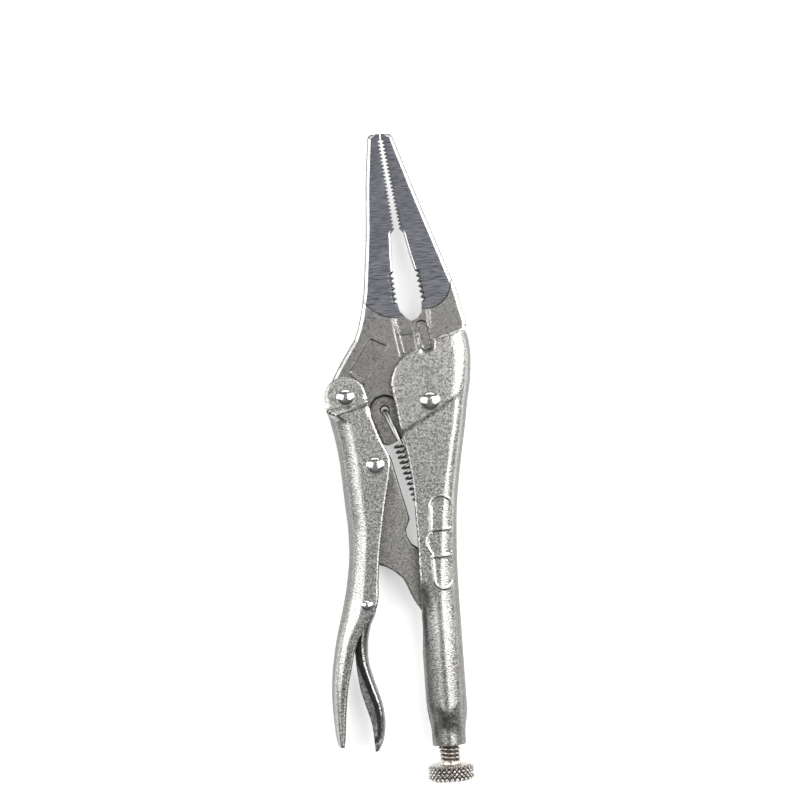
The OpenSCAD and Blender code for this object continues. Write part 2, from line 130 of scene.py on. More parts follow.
def arc(centre, r, a0, a1, n=16):
    a = np.radians(np.linspace(a0, a1, n + 1))
    return np.column_stack([centre[0] + r * np.cos(a), centre[1] + r * np.sin(a)])


def around(n):
    """n angles round a full turn."""
    return np.linspace(0, 2 * math.pi, n, endpoint=False)


def resample(points, step):
    """Points along a line of points, no further than step apart, with its corners kept."""
    points = np.asarray(points, float)
    out = [points[:1]]
    for a, b in zip(points[:-1], points[1:]):
        n = max(1, int(math.ceil(np.linalg.norm(b - a) / step)))
        out.append(a + (b - a) * (np.arange(1, n + 1) / n)[:, None])
    return np.concatenate(out)


def loop(points, step):
    points = np.asarray(points, float)
    keep = np.linalg.norm(points - np.roll(points, 1, 0), axis=1) > 1e-4
    points = points[keep]
    out = resample(np.vstack([points, points[:1]]), step)[:-1]
    area = np.sum(out[:, 0] * np.roll(out[:, 1], -1) - np.roll(out[:, 0], -1) * out[:, 1])
    return out if area > 0 else out[::-1]


def distance(p, path, closed=False):
    """Distance from each point of p to a path of points."""
    path = np.asarray(path, float)
    a = path if closed else path[:-1]
    b = np.roll(path, -1, 0) if closed else path[1:]
    out = np.full(len(p), 1e9)
    for s in range(0, len(p), CHUNK):
        q = p[s:s + CHUNK, None, :]
        d = b - a
        t = np.clip(((q - a) * d).sum(2) / np.maximum((d * d).sum(1), 1e-12), 0, 1)
        out[s:s + CHUNK] = np.sqrt((((a + d * t[..., None]) - q) ** 2).sum(2)).min(1)
    return out


def inside(p, poly):
    """Whether each point of p lies inside a closed outline."""
    x, y = p[:, 0][:, None], p[:, 1][:, None]
    a, b = poly, np.roll(poly, -1, 0)
    crosses = (a[:, 1] > y) != (b[:, 1] > y)
    with np.errstate(divide="ignore", invalid="ignore"):
        at = (b[:, 0] - a[:, 0]) * (y - a[:, 1]) / (b[:, 1] - a[:, 1]) + a[:, 0]
    return (crosses & (x < at)).sum(1) % 2 == 1


def signed(p, poly):
    """Distance to a closed outline, negative inside."""
    return np.where(inside(p, poly), -1, 1) * distance(p, poly, closed=True)


def smooth(t):
    t = np.clip(t, 0, 1)
    return t * t * (3 - 2 * t)


def rounded(d, r):
    """How far a rounded edge of radius r drops at distance d from it."""
    r = np.maximum(r, 1e-6)
    t = np.clip(r - d, 0, r)
    return r - np.sqrt(np.maximum(r * r - t * t, 0))


def offset_points(path, d, closed=True):
    """Points a distance d to the left of each point of a path."""
    prev = np.roll(path, 1, 0) if closed else np.vstack([path[:1], path[:-1]])
    nxt = np.roll(path, -1, 0) if closed else np.vstack([path[1:], path[-1:]])
    t = nxt - prev
    t /= np.maximum(np.linalg.norm(t, axis=1), 1e-9)[:, None]
    return path + d * np.column_stack([-t[:, 1], t[:, 0]])


# ---------- meshes

def add(name, data):
    """A new object in the scene."""
    obj = bpy.data.objects.new(name, data)
    bpy.context.collection.objects.link(obj)
    return obj


def new_object(name, verts_mm, faces, material_index=None):
    """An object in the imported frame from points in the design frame."""
    mesh = bpy.data.meshes.new(name)
    world = (np.asarray(verts_mm, float) + ORIGIN) * MM
    mesh.from_pydata(world.tolist(), [], [list(map(int, f)) for f in faces])
    if material_index is not None:
        mesh.polygons.foreach_set("material_index", np.asarray(material_index, np.int32))
    mesh.update()
    return add(name, mesh)


def finish_mesh(obj, sharp):
    """Merges doubled points and shades smooth, but for edges over sharp degrees."""
    bm = bmesh.new()
    bm.from_mesh(obj.data)
    bmesh.ops.remove_doubles(bm, verts=bm.verts, dist=MERGE)
    bmesh.ops.dissolve_degenerate(bm, edges=bm.edges, dist=MERGE / 2)
    bmesh.ops.recalc_face_normals(bm, faces=bm.faces)
    bm.to_mesh(obj.data)
    bm.free()
    obj.data.polygons.foreach_set("use_smooth", [True] * len(obj.data.polygons))
    obj.data.set_sharp_from_angle(angle=math.radians(sharp))
    return obj


def triangulate(outline, points, seams=()):
    """Triangles inside an outline, through the given points and along the given seams."""
    verts = [outline]
    edges = [(i, (i + 1) % len(outline)) for i in range(len(outline))]
    n = len(outline)
    for seam in seams:
        edges += [(n + i, n + i + 1) for i in range(len(seam) - 1)]
        verts.append(seam)
        n += len(seam)
    verts.append(points)
    flat = np.vstack(verts)
    co, _, faces, *_ = geometry.delaunay_2d_cdt(
        [Vector(v) for v in flat.tolist()], edges, [], 1, 1e-5)
    co = np.array([tuple(v) for v in co])
    faces = np.array([f for f in faces if len(f) == 3])
    a, b, c = co[faces[:, 0]], co[faces[:, 1]], co[faces[:, 2]]
    area = (b[:, 0] - a[:, 0]) * (c[:, 1] - a[:, 1]) - (c[:, 0] - a[:, 0]) * (b[:, 1] - a[:, 1])
    faces[area < 0] = faces[area < 0][:, ::-1]
    return co, faces[np.abs(area) > 1e-9]


def lattice(outline, step, clear):
    """A staggered grid of near equilateral triangles inside an outline, clear of its edge."""
    low, high = outline.min(0), outline.max(0)
    out = []
    for j, y in enumerate(np.arange(low[1], high[1], step * 0.87)):
        x = np.arange(low[0] + (j % 2) * step / 2, high[0], step)
        out.append(np.column_stack([x, np.full(len(x), y)]))
    p = np.vstack(out)
    p = p[inside(p, outline)]
    return p[distance(p, outline, closed=True) > clear]


def round_steps(r, n, first=1):
    """n depths behind an edge of radius r, close together where the round is steep."""
    return [r * (1 - math.cos(math.pi / 2 * k / n)) for k in range(first, first + n)]


def edge_rings(outline, r, steps):
    """Points on rings inside an outline, spaced for a rounded edge of radius r."""
    out = []
    for d in round_steps(r, steps):
        ring = offset_points(outline, d)
        ok = inside(ring, outline) & (distance(ring, outline, closed=True) > d * 0.93)
        out.append(ring[ok])
    return np.vstack(out)


def thin(points, others, gap):
    """The points that keep a gap from all the others."""
    if len(points) == 0 or len(others) == 0:
        return points
    keep = np.ones(len(points), bool)
    for s in range(0, len(points), CHUNK):
        d = ((points[s:s + CHUNK, None, :] - others[None]) ** 2).sum(2).min(1)
        keep[s:s + CHUNK] = d > gap * gap
    return points[keep]


def relief(name, outline, points, top, inner=None, seams=(), hole=None, pick=None):
    """A solid that is symmetric about z = 0: its faces lie at z = +top and -top over an outline, and
    where inner is given, it is hollow between z = +inner and -inner. pick gives each face its slot."""
    co, tris = triangulate(outline, points, seams)
    if hole is not None:
        mid = co[tris].mean(1)
        tris = tris[~inside(mid, hole)]
    z = np.maximum(top(co), 0)
    zi = np.zeros(len(co)) if inner is None else np.clip(inner(co), 0, z)
    n = len(co)
    verts = np.vstack([
        np.column_stack([co, z]), np.column_stack([co, -z]),
        np.column_stack([co, zi]), np.column_stack([co, -zi])])
    hollow = tris[(zi[tris] > 1e-6).any(1)]
    # an edge that no neighbour runs the other way is on the rim
    edges = {(t[i], t[i - 2]): None for t in tris for i in range(3)}
    rim = np.array([e for e in edges if e[::-1] not in edges])
    faces = tris.tolist() + (tris[:, ::-1] + n).tolist()
    slots = pick(co[tris].mean(1)) if pick else np.zeros(len(tris), int)
    index = list(slots) + list(slots)
    if inner is None:
        faces += [[a, a + n, b + n, b] for a, b in rim.tolist()]
        index += [0] * len(rim)
    else:
        faces += (hollow[:, ::-1] + 2 * n).tolist() + (hollow + 3 * n).tolist()
        faces += [[a, a + 2 * n, b + 2 * n, b] for a, b in rim.tolist()]
        faces += [[a + 3 * n, a + n, b + n, b + 3 * n] for a, b in rim.tolist()]
        index += [0] * (2 * len(hollow) + 2 * len(rim))
    return new_object(name, verts, faces, index)


def strip(rings, cols, first=0):
    """Quads between neighbouring rings of cols points each, from the point numbered first."""
    quads = []
    for a in range(first, first + (rings - 1) * cols, cols):
        b = a + cols
        quads += [[a + i, a + (i + 1) % cols, b + (i + 1) % cols, b + i] for i in range(cols)]
    return quads


def capped_rings(rings, cols):
    """Quads between rings that run the other way round, and a face over each end."""
    quads = [[a, d, c, b] for a, b, c, d in strip(rings, cols)]
    last = (rings - 1) * cols
    return quads + [list(range(cols)), list(range(last, last + cols))[::-1]]


def tube_mesh(name, path, r, sides):
    """A round wire along a path of points."""
    path = np.asarray(path, float)
    t = np.gradient(path, axis=0)
    t /= np.linalg.norm(t, axis=1)[:, None]
    u = np.cross(t[0], [0.3, 0.2, 0.9])
    rings = []
    for p, d in zip(path, t):
        u = u - d * (u @ d)
        u /= np.linalg.norm(u)
        v = np.cross(d, u)
        a = around(sides)
        rings.append(p + r * (np.outer(np.cos(a), u) + np.outer(np.sin(a), v)))
    verts = np.vstack(rings)
    last = (len(path) - 1) * sides
    ends = [list(range(sides))[::-1], list(range(last, last + sides))]
    return new_object(name, verts, strip(len(path), sides) + ends)


# ---------- sheet metal channels

EDGE_R = 0.75
EDGE_STEPS = (0.04, 0.14, 0.28, 0.46, 0.72)
# Most that the round of a back takes up of the channel's depth
BACK_SHARE = 0.6
# Degrees above which an edge of pressed sheet is shaded sharp
SHARP = 38
# Below this height the fixed handle is a closed tube
TUBE_TOP = -75
SLOT_END = -88.0
SLOT_HALF = 3.0
SHOULDER = TUBE_END + 13.2
NECK = TUBE_END + 5.5
NECK_R = 5.9
BORE_R = 4.05
CLOSE_FROM, CLOSE_TO = -62.0, -74.5


def edge_round(d):
    """How far a flattened edge round drops the face at distance d from the edge."""
    return 0.55 * rounded(d, EDGE_R)


def round_back(u, half):
    """Height of a back rounded with its own half thickness, at depth u behind it."""
    t = np.clip(1 - u / half, 0, 1)
    return half * np.sqrt(1 - t * t)


def back_rings(path, half, wall, side):
    """Points on rings behind a rounded back, for its outside and its inside. side is 1 to the left."""
    depths = round_steps(half, 12) + [wall + d for d in round_steps(half - wall, 7, first=0)]
    return [offset_points(path, side * d, closed=False) for d in depths]


def depth_of(table, p):
    """Depth from back to open edge of a channel drawn by a table of [y, back x, edge x]."""
    y = np.clip(p[:, 1], table[-1, 0], table[0, 0])
    return np.abs(curve(table, y, 2) - curve(table, y, 1))


def side_of(p, path):
    """Signed distance to an open path, positive to its left."""
    path = np.asarray(path, float)
    before, after = path[:1] - 50 * (path[1] - path[0]), path[-1:] + 50 * (path[-1] - path[-2])
    ends = np.vstack([before, path, after])
    a, b = ends[:-1], ends[1:]
    d = b - a
    q = p[:, None, :]
    t = np.clip(((q - a) * d).sum(2) / (d * d).sum(1), 0, 1)
    gap = q - (a + d * t[..., None])
    dist = np.sqrt((gap ** 2).sum(2))
    i = dist.argmin(1)
    k = np.arange(len(p))
    cross = d[i, 0] * gap[k, i, 1] - d[i, 1] * gap[k, i, 0]
    return np.where(cross >= 0, 1, -1) * dist[k, i]


def gather(outline, *groups, gap=0.16, clear=0.05):
    """The points of all the groups that lie inside the outline, in order of importance."""
    kept = np.zeros((0, 2))
    for g in groups:
        g = np.asarray(g, float).reshape(-1, 2)
        g = g[inside(g, outline)]
        if len(g):
            g = g[distance(g, outline, closed=True) > clear]
        if len(kept) and len(g):
            g = thin(g, kept, gap)
        kept = np.vstack([kept, g])
    return kept


# ---------- fixed handle

# y, back x and open edge x of the fixed handle, from the jaws down
HANDLE_ROWS = np.array([
    [24.6, 15.9, -11.4], [20, 16.8, -11.4], [15.3, 17.08, -11.4], [6.5, 16.3, -11.4],
    [-0.4, 14.9, -10.4], [-9.4, 13.4, -9.2], [-18, 11.7, -7.6], [-28, 9.9, -6.4], [-38.2, 8.5, -6.25],
    [-52, 7.5, -6.1], [-64, 7.15, -6.3], [-75, 7.1, -6.3]])
CREASE = np.array([(14.4, 2.2), (9.7, -0.3), (3.4, -4.4), (-8.2, -10.4)])
NOTCH = arc((1.6, 19.8), 2.9, 46, -112, 14)
CORNER = arc((1.6, 5.6), 13.1, 97, 176, 24)
# Blank raised border on the handle's side: a long capsule with a wider round in the middle
PANEL_TOP, PANEL_MID, PANEL_LOW = (2.9, -36.8), (2.1, -49.4), (2.1, -62.0)


def panel_distance(p):
    """Distance outside the panel's outline, negative inside."""
    reach = np.interp(p[:, 1], [PANEL_LOW[1], PANEL_TOP[1]], [3.3, 3.8])
    capsule = distance(p, [PANEL_LOW, PANEL_MID, PANEL_TOP]) - reach
    middle = np.hypot(p[:, 0] - PANEL_MID[0], p[:, 1] - PANEL_MID[1]) - 4.9
    return np.minimum(capsule, middle)


def panel_lines(p):
    """Distance to the panel's outline and to the two bars that part its ends from its middle."""
    upper, lower = [(-1.6, -45.0), (5.9, -44.6)], [(-1.6, -54.2), (5.5, -53.8)]
    bars = np.minimum(distance(p, upper), distance(p, lower))
    return np.minimum(np.abs(panel_distance(p)), bars)


def slot_half(y):
    """Half width of the slot for the link, which closes to nothing at its lower end."""
    return SLOT_HALF * np.sqrt(np.clip((y - SLOT_END) / (-80 - SLOT_END), 0, 1))


# Width of the turn of the back, at heights y: tighter towards the jaws than along the tube
TURN_Y, TURN = [-70, -40, 5], [HALF_W, 5.2, 4.3]
# The swaged shoulder starts higher on the left, by this much for each mm across
SHOULDER_SLANT = 0.42
LINE_H = 0.2


def build_fixed_handle():
    """The handle: a channel at the jaws, closed to a round tube at the screw."""
    ys = np.linspace(TUBE_TOP - 1, 22, 180)
    back = np.column_stack([curve(HANDLE_ROWS, np.maximum(ys, TUBE_TOP), 1), ys])
    ys = np.linspace(-72.5, 4, 120)
    edge = np.column_stack([curve(HANDLE_ROWS, ys, 2), ys])[::-1]
    top = [(13.6, 23.95), (4.6, 21.8)]
    slot_y = np.linspace(-74.2, SLOT_END, 16)
    slot = [(-6.36, -73.4)] + [(-math.sqrt(HALF_W ** 2 - slot_half(y) ** 2), y) for y in slot_y]
    left_neck = [(-HALF_W, SHOULDER + 2), (-6.9, SHOULDER - 1), (-6.1, NECK + 1.4), (-NECK_R, NECK),
                 (-NECK_R, TUBE_END)]
    right_neck = [(NECK_R, TUBE_END), (NECK_R, NECK - 1), (6.15, NECK + 0.5), (6.9, SHOULDER - 3),
                  (HALF_W, SHOULDER - 1.6)]
    cap = [(16.3, 22.3), (15.8, 23.4), (14.9, 24.05)]
    outline = loop(np.vstack([top, NOTCH, CORNER, edge, slot, left_neck, right_neck, back, cap]), 0.6)
    back_line = np.vstack([[(HALF_W, TUBE_END - 2)], back, [(15.9, 32)]])
    edge_line = np.vstack([top, NOTCH, CORNER, edge, slot[:2]])

    def parts(p):
        y = p[:, 1]
        u = distance(p, back_line)
        e = distance(p, edge_line)
        close = smooth((CLOSE_FROM - y) / (CLOSE_FROM - CLOSE_TO))
        return y, u, e, close

    def top_z(p):
        y, u, e, close = parts(p)
        channel = HALF_W * round_back(u / np.interp(y, TURN_Y, TURN), 1.0)
        slant = y + SHOULDER_SLANT * p[:, 0]
        length = SHOULDER - NECK + 0.6 + 0.9 * np.maximum(p[:, 0], 0)
        radius = NECK_R + (HALF_W - NECK_R) * smooth((slant - NECK + 1.0) / length)
        tube = np.sqrt(np.maximum(radius ** 2 - p[:, 0] ** 2, 0))
        left = np.minimum(channel, np.where(p[:, 0] < 0, tube, channel))
        h = np.where(y < TUBE_TOP, tube, channel * (1 - close) + left * close)
        box = smooth((side_of(p, CREASE) * -1 + 0.6) / 2.2)
        h = h + (BOX_HALF - HALF_W) * box * smooth((u - 1.5) / 5)
        h = h + LINE_H * smooth((u - 0.5) / 0.8) * smooth((0.5 - panel_lines(p)) / 0.42)
        h = h - edge_round(e) * (1 - smooth((-y - 73) / 1.5))
        return h - rounded(y - TUBE_END, 0.4) * (y < NECK)

    def inner_z(p):
        y, u, e, close = parts(p)
        hollow = np.where(u > WALL, round_back(np.maximum(u - WALL, 0), INNER), 0)
        bore = np.sqrt(np.maximum(np.where(y > SHOULDER, INNER, BORE_R) ** 2 - p[:, 0] ** 2, 0))
        curl = np.where(p[:, 0] < 0, np.maximum(np.minimum(bore, hollow), slot_half(y)), hollow)
        h = hollow * (1 - close) + curl * close
        return np.where(y < TUBE_TOP, np.where(p[:, 0] < 0, np.maximum(bore, slot_half(y)), bore), h)

    rings = back_rings(back, HALF_W, WALL, 1)
    tube_y = np.arange(TUBE_END + 0.3, TUBE_TOP - 1, 0.9)
    across = HALF_W * np.cos(np.linspace(0, math.pi, 27))
    tube_x = np.concatenate([across, [-BORE_R, -INNER, INNER, BORE_R]])
    tube = np.array([(x * (NECK_R / HALF_W if y < NECK else 1), y) for y in tube_y for x in tube_x])
    edges = [offset_points(edge_line, d, closed=False) for d in EDGE_STEPS]
    crease = [offset_points(resample(CREASE, 0.5), d, closed=False) for d in (-1.3, -0.9, -0.5, -0.1, 0.3)]
    fine = np.array([(x, y) for x in np.arange(-4, 7.2, 0.24) for y in np.arange(-67, -31, 0.24)])
    panel = fine[(panel_lines(fine) < 0.75) & inside(fine, outline)]
    points = gather(outline, *edges, panel, *crease, *rings, tube,
                    lattice(outline, 1.0, 0.4), gap=0.14)
    return finish_mesh(relief("fixed_handle_sheet", outline, points, top_z, inner_z), SHARP)


# ---------- lower handle

LOWER_ROWS = np.array([
    [-3.5, -33.9, -19.3], [-11.2, -32.4, -16.8], [-18.9, -31.4, -13.7], [-25.5, -31.0, -14.4],
    [-34, -30.6, -16.3], [-42.7, -30.1, -18.0], [-52.5, -30.4, -19.7], [-62, -31.9, -20.8],
    [-70, -33.8, -21.8], [-77, -35.8, -26.6], [-82, -37.1, -29.6], [-90.5, -38.8, -32.0],
    [-99, -39.75, -34.1], [-107, -39.8, -35.3], [-114, -39.4, -36.0], [-118.2, -38.8, -36.5]])
EAR_R = 7.3
JOGGLE = np.array([(-32.8, -1.7), (-20.5, 0.9)])
EAR_DROP = 0.65
LIP_H, STREAK_H = 0.15, 0.1


def joggle_half(p):
    """Half width of the step below the ear, wider at the handle's back."""
    return np.interp(p[:, 0], [-33, -20], [1.3, 0.65])


def build_lower_handle():
    ys = np.linspace(-118.2, -3.6, 220)
    back = np.column_stack([curve(LOWER_ROWS, ys, 1), ys])
    edge = np.column_stack([curve(LOWER_ROWS, ys, 2), ys])
    edge = edge[edge[:, 1] < -3.8]
    ear = np.vstack([[(-19.7, -0.4)], arc(JAW, EAR_R, 5, 175, 30), [(-34.65, -1)]])
    outline = loop(np.vstack([back, ear[::-1], edge[::-1]]), 0.55)
    edge_line = np.vstack([back[-1:], ear[::-1], edge[::-1], back[:1]])

    def shape(p):
        u = distance(p, back) + 1.5 * np.maximum(p[:, 1] + 0.25 * (p[:, 0] + 33) + 4.0, 0)
        radius = np.minimum(HALF_W, BACK_SHARE * depth_of(LOWER_ROWS, p))
        return u, radius

    def top_z(p):
        u, radius = shape(p)
        h = HALF_W * round_back(u / radius, 1.0)
        # the step is pressed between two lips, with a drawn streak along its middle
        side = side_of(p, JOGGLE)
        half = joggle_half(p)
        h = h - EAR_DROP * smooth((side + half) / (2 * half))
        lip = np.abs(np.abs(side) - half)
        h = h + LIP_H * smooth((0.36 - lip) / 0.34) - STREAK_H * smooth((0.32 - np.abs(side)) / 0.3)
        return h - edge_round(distance(p, edge_line))

    def inner_z(p):
        u, radius = shape(p)
        wall = np.minimum(WALL, 0.45 * depth_of(LOWER_ROWS, p))
        r_in = np.maximum(radius - wall, 0.3)
        return np.where(u > wall, INNER * round_back(np.maximum(u - wall, 0) / r_in, 1.0), 0)

    edges = [offset_points(edge_line, s * d, closed=False) for d in EDGE_STEPS for s in (1, -1)]
    band = np.array([(x, y) for x in np.arange(-35, -19, 0.2) for y in np.arange(-5, 3, 0.2)])
    band = band[np.abs(side_of(band, JOGGLE)) < joggle_half(band) + 0.5]
    points = gather(outline, *edges, band, *back_rings(back, HALF_W, WALL, -1),
                    lattice(outline, 1.0, 0.4), gap=0.14)
    return finish_mesh(relief("lower_handle_sheet", outline, points, top_z, inner_z), SHARP)


# ---------- release lever

LEVER_WALL = 1.6
LEVER_DISH = 2.6
# Width of the rim along the back, at heights y; beyond it the dish is painted in shade
RIM_Y, RIM = [-119, -111, -100, -92, -84, -68], [0.5, 0.95, 1.35, 1.6, 2.1, 2.9]
LEVER_ROWS = np.array([
    [-68.2, -21.7, -28.5], [-72.6, -22.5, -29.5], [-77.3, -24.6, -30.3], [-83.5, -25.9, -30.7],
    [-89.4, -26.0, -30.6], [-94.4, -25.0, -30.2], [-99.4, -23.6, -29.6], [-104.4, -22.3, -28.3],
    [-111, -21.8, -26.6], [-117.2, -22.8, -26.1], [-120.6, -24.5, -26.0]])
LEVER_NOSE = [(-28.5, -68), (-28.5, -67.4), (-26.2, -59.2), (-25.3, -58.4), (-23.9, -58.4),
              (-23.0, -59.2), (-21.6, -67.4)]


def build_release_lever():
    ys = np.linspace(-120.6, -68.2, 110)
    back = np.column_stack([curve(LEVER_ROWS, ys, 1), ys])
    edge = np.column_stack([curve(LEVER_ROWS, ys, 2), ys])
    outline = loop(np.vstack([edge, LEVER_NOSE, back[::-1]]), 0.45)
    back_line = np.vstack([back, LEVER_NOSE[:2:-1]])
    edge_line = np.vstack([back[:1], edge, LEVER_NOSE[:3]])

    def rim_width(p):
        return np.interp(p[:, 1], RIM_Y, RIM)

    def top_z(p):
        u = distance(p, back_line)
        radius = np.minimum(LEVER_HALF, BACK_SHARE * depth_of(LEVER_ROWS, p))
        h = LEVER_HALF * round_back(u / np.minimum(radius, rim_width(p) + 0.6), 1.0)
        # the side wall falls away from the back and runs out at the open edge
        dish = smooth((u - rim_width(p)) / 2.3)
        low = smooth((-p[:, 1] - 66) / 8) * smooth((p[:, 1] + 118.4) / 3.2)
        h = h - np.minimum(LEVER_DISH, 0.6 * h) * dish * low
        return h - rounded(distance(p, edge_line), 0.25)

    def face(centres):
        # painted shade: faces of the dish past the rim take the darker material
        u = distance(centres, back_line)
        low = (centres[:, 1] < -69) & (centres[:, 1] > -116.6)
        return ((u > rim_width(centres) + 0.2) & low).astype(int)

    def inner_z(p):
        u = distance(p, back_line)
        radius = np.minimum(LEVER_HALF, BACK_SHARE * depth_of(LEVER_ROWS, p))
        wall = np.minimum(LEVER_WALL, 0.4 * depth_of(LEVER_ROWS, p))
        r_in = np.maximum(radius - wall, 0.3)
        h = (LEVER_HALF - LEVER_WALL - 1.5) * round_back(np.maximum(u - wall, 0) / r_in, 1.0)
        return np.where(u > wall, h, 0)

    edges = [offset_points(edge_line, s * d, closed=False)
             for d in (0.04, 0.12, 0.24, 0.38) for s in (1, -1)]
    steps = round_steps(LEVER_HALF, 10) + [LEVER_WALL + d for d in round_steps(2.3, 6, first=0)]
    rings = [offset_points(back_line, s * d, closed=False) for d in steps for s in (1, -1)]
    points = gather(outline, *edges, *rings, lattice(outline, 0.45, 0.2), gap=0.12)
    return finish_mesh(relief("release_lever_sheet", outline, points, top_z, inner_z, pick=face), SHARP)


# ---------- toggle link

LINK_OUTLINE = np.vstack([
    arc(LINK, 6.0, 20, 195, 24),
    [(-24.0, -34), (-23.6, -48), (-22.9, -54.2), (-22.3, -55.3), (-20.2, -55.9), (-17.7, -56.7),
     (-15.1, -58.3), (-12.1, -61.1), (-10.9, -63.6), (-10.0, -66.1), (-8.6, -69.2), (-5.4, -74.4)],
    arc((0, -76.3), 2.4, 225, 350, 12),
    [(2.6, -71), (0.8, -62), (-2.4, -55), (-5.9, -51.1), (-8.2, -49.4), (-9.7, -46.6), (-9.9, -44.2),
     (-8.3, -40.6)]])


def build_toggle_link():
    outline = loop(LINK_OUTLINE, 0.5)

    def top_z(p):
        r = np.hypot(*(p - LINK).T)
        hub = smooth((5.3 - r) / 0.3)
        h = LINK_HALF - rounded(distance(p, outline, closed=True), 0.6)
        return h + (JAW_HALF - LINK_HALF) * hub

    ring = [arc(LINK, r, 0, 360, 60) for r in (4.98, 5.05, 5.15, 5.25, 5.32)]
    points = gather(outline, edge_rings(outline, 0.6, 5), *ring, lattice(outline, 1.0, 0.5), gap=0.1)
    return finish_mesh(relief("toggle_link_plate", outline, points, top_z), 35)


# ---------- jaws

FINE_Y = 61.0
TIP_HALF = 1.8
CHEEK_LOW = JAW_HALF - 0.45
# Width of the flat along the outer edges of the jaws, worn and painted lighter as a highlight
CHAMFER = 1.25
CUTTER_POCKET = loop([(-7.4, 24.1), (-8.8, 27.6), (-9.2, 31), (3, 33), (3.1, 26.3), (2.2, 25.2)], 0.5)
PART_TOP, PART_LOW = np.array((-2.8, 28.3)), np.array((-1.0, 13.5))
# Blank frame pressed into the movable jaw
PAD = [(-26.2, 12.5), (-25.6, 13.4), (-18.3, 23.7), (-17.5, 24.0), (-16.6, 23.7), (-11.5, 20.9),
       (-11.0, 20.2), (-11.4, 19.4), (-20.1, 7.7), (-20.7, 7.2), (-21.6, 7.6), (-25.8, 11.2)]
FRAME_H, RIDGE_H = 0.3, 0.18
RIDGES = [((-10.0, 29.7), (-7.8, 15.8)), ((-8.6, 29.3), (-6.3, 17.4))]
HOOK_HOLE = np.array((-14.3, -2.1))
HOOK_R, SINK_R, SINK_H = 1.25, 1.85, 1.3
# Thinned web round the spring's hook, along this line
WEB_LINE = [(-14.3, -2.1), (-9.5, -15)]
WEB_H = 2.6
SLOT_DEPTH = 1.5
TOOTH_H = (1.1, 1.15)
# Material slots of the jaws
FORGED, GROUND, WORN_HIGHLIGHT, EDGE_SHADE, SHADED_WEB = range(5)
# Width of the strip along the jaws' outer edge that is painted dark as shade
EDGE_SHADE_W = 0.33
PART_GAP = 0.08
# Centre and radius of the arc below which each jaw is left as forged
FIXED_ARC = ((2.5, 41.5), 9.4)
MOVABLE_ARC = ((-7.5, 43.3), 13.6)
OVAL_LOW, OVAL_TOP = 33.5, 60.2


def nose(x, f):
    """The point at x, a share f of the way from the first fine tooth to the tip."""
    return x, FINE_Y + f * (JAW_REACH - FINE_Y)


def teeth(a, b, n, deep):
    """Teeth with small flats from a to b: tips on the line, roots deep to its left."""
    a, b = np.array(a, float), np.array(b, float)
    step = (b - a) / n
    side = np.array([-step[1], step[0]]) / np.linalg.norm(step) * deep
    out = []
    for i in range(n):
        at = a + step * i
        out += [at, at + step * 0.08, at + step * 0.5 + side, at + step * 0.58 + side]
    return out


def part_x(y, side):
    """The parting line's edge at height y, on the fixed jaw's side (1) or the movable jaw's (-1)."""
    t = (PART_TOP[1] - y) / (PART_TOP[1] - PART_LOW[1])
    return PART_TOP[0] + (PART_LOW[0] - PART_TOP[0]) * t + side * PART_GAP / 2


def cheek_z(y):
    """Half thickness of the ground cheeks."""
    return CHEEK_LOW + (TIP_HALF - CHEEK_LOW) * (y - 30) / (JAW_REACH - 30)


def pocket_relief(d):
    """The cutter's shallow pocket inside a raised rim, by the distance outside its outline."""
    return 0.13 * smooth((0.36 - np.abs(d - 0.38)) / 0.3) - 0.34 * smooth((0.05 - d) / 0.75)


def arc_band(cheek_arc, n):
    """Points that keep the step at the cheek's arc crisp."""
    centre, r = cheek_arc
    return [arc(centre, r + w, 170, 370, n) for w in (0.15, 0.06, -0.05, -0.15, -0.26)]


def both_sides(path, step, depths):
    """Points at each depth to the left of an open path, then to its right."""
    path = resample(path, step)
    return [offset_points(path, s * d, closed=False) for s in (1, -1) for d in depths]


def jaw_edges(outer_edge, bite):
    """Points along the teeth, along the outer edge and round the cutter's pocket."""
    tooth = both_sides(bite, 0.4, (0.05, 0.12, 0.2, 0.4, 0.6, 0.8))
    outer = both_sides(outer_edge, 0.6, (0.06, 0.13, 0.22, 0.37, 0.7, CHAMFER - 0.04, CHAMFER + 0.04, 1.7))
    pocket = [offset_points(CUTTER_POCKET, d) for d in
              (-0.75, -0.6, -0.45, -0.3, -0.15, 0.0, 0.2, 0.4, 0.6, 0.8)]
    return tooth, outer, pocket


def jaw_slots(centres, outer_edge, bite, cheek_arc):
    """The material slot of each face of a jaw."""
    slots = np.where(edge_shade(centres, outer_edge), EDGE_SHADE, ground_slot(centres, cheek_arc))
    return np.where(worn_highlight(centres, outer_edge, bite), WORN_HIGHLIGHT, slots)


def jaw_height(p, outer_edge, inner_edge, cheek_arc):
    """Half thickness of a jaw: forged body below the arc, ground cheek above it, rounded outer edge."""
    cheek_c, cheek_r = cheek_arc
    x, y = p[:, 0], p[:, 1]
    to_arc = cheek_r - np.hypot(x - cheek_c[0], y - cheek_c[1])
    to_arc = np.where(y > cheek_c[1], np.maximum(to_arc, y - cheek_c[1] + 2), to_arc)
    ground = smooth((to_arc + 0.1) / 0.35)
    body = np.minimum(JAW_HALF, JAW_HALF - 0.004 * np.maximum(y - 20, 0) ** 1.2)
    h = body * (1 - ground) + np.minimum(cheek_z(y), body) * ground
    u = distance(p, outer_edge)
    h = h - 0.42 * np.maximum(CHAMFER - u, 0) - rounded(u, 0.22)
    bevel = np.where((y > OVAL_LOW) & (y < OVAL_TOP), 0.75, 0.18)
    h = h - rounded(distance(p, inner_edge), bevel)
    return h, ground


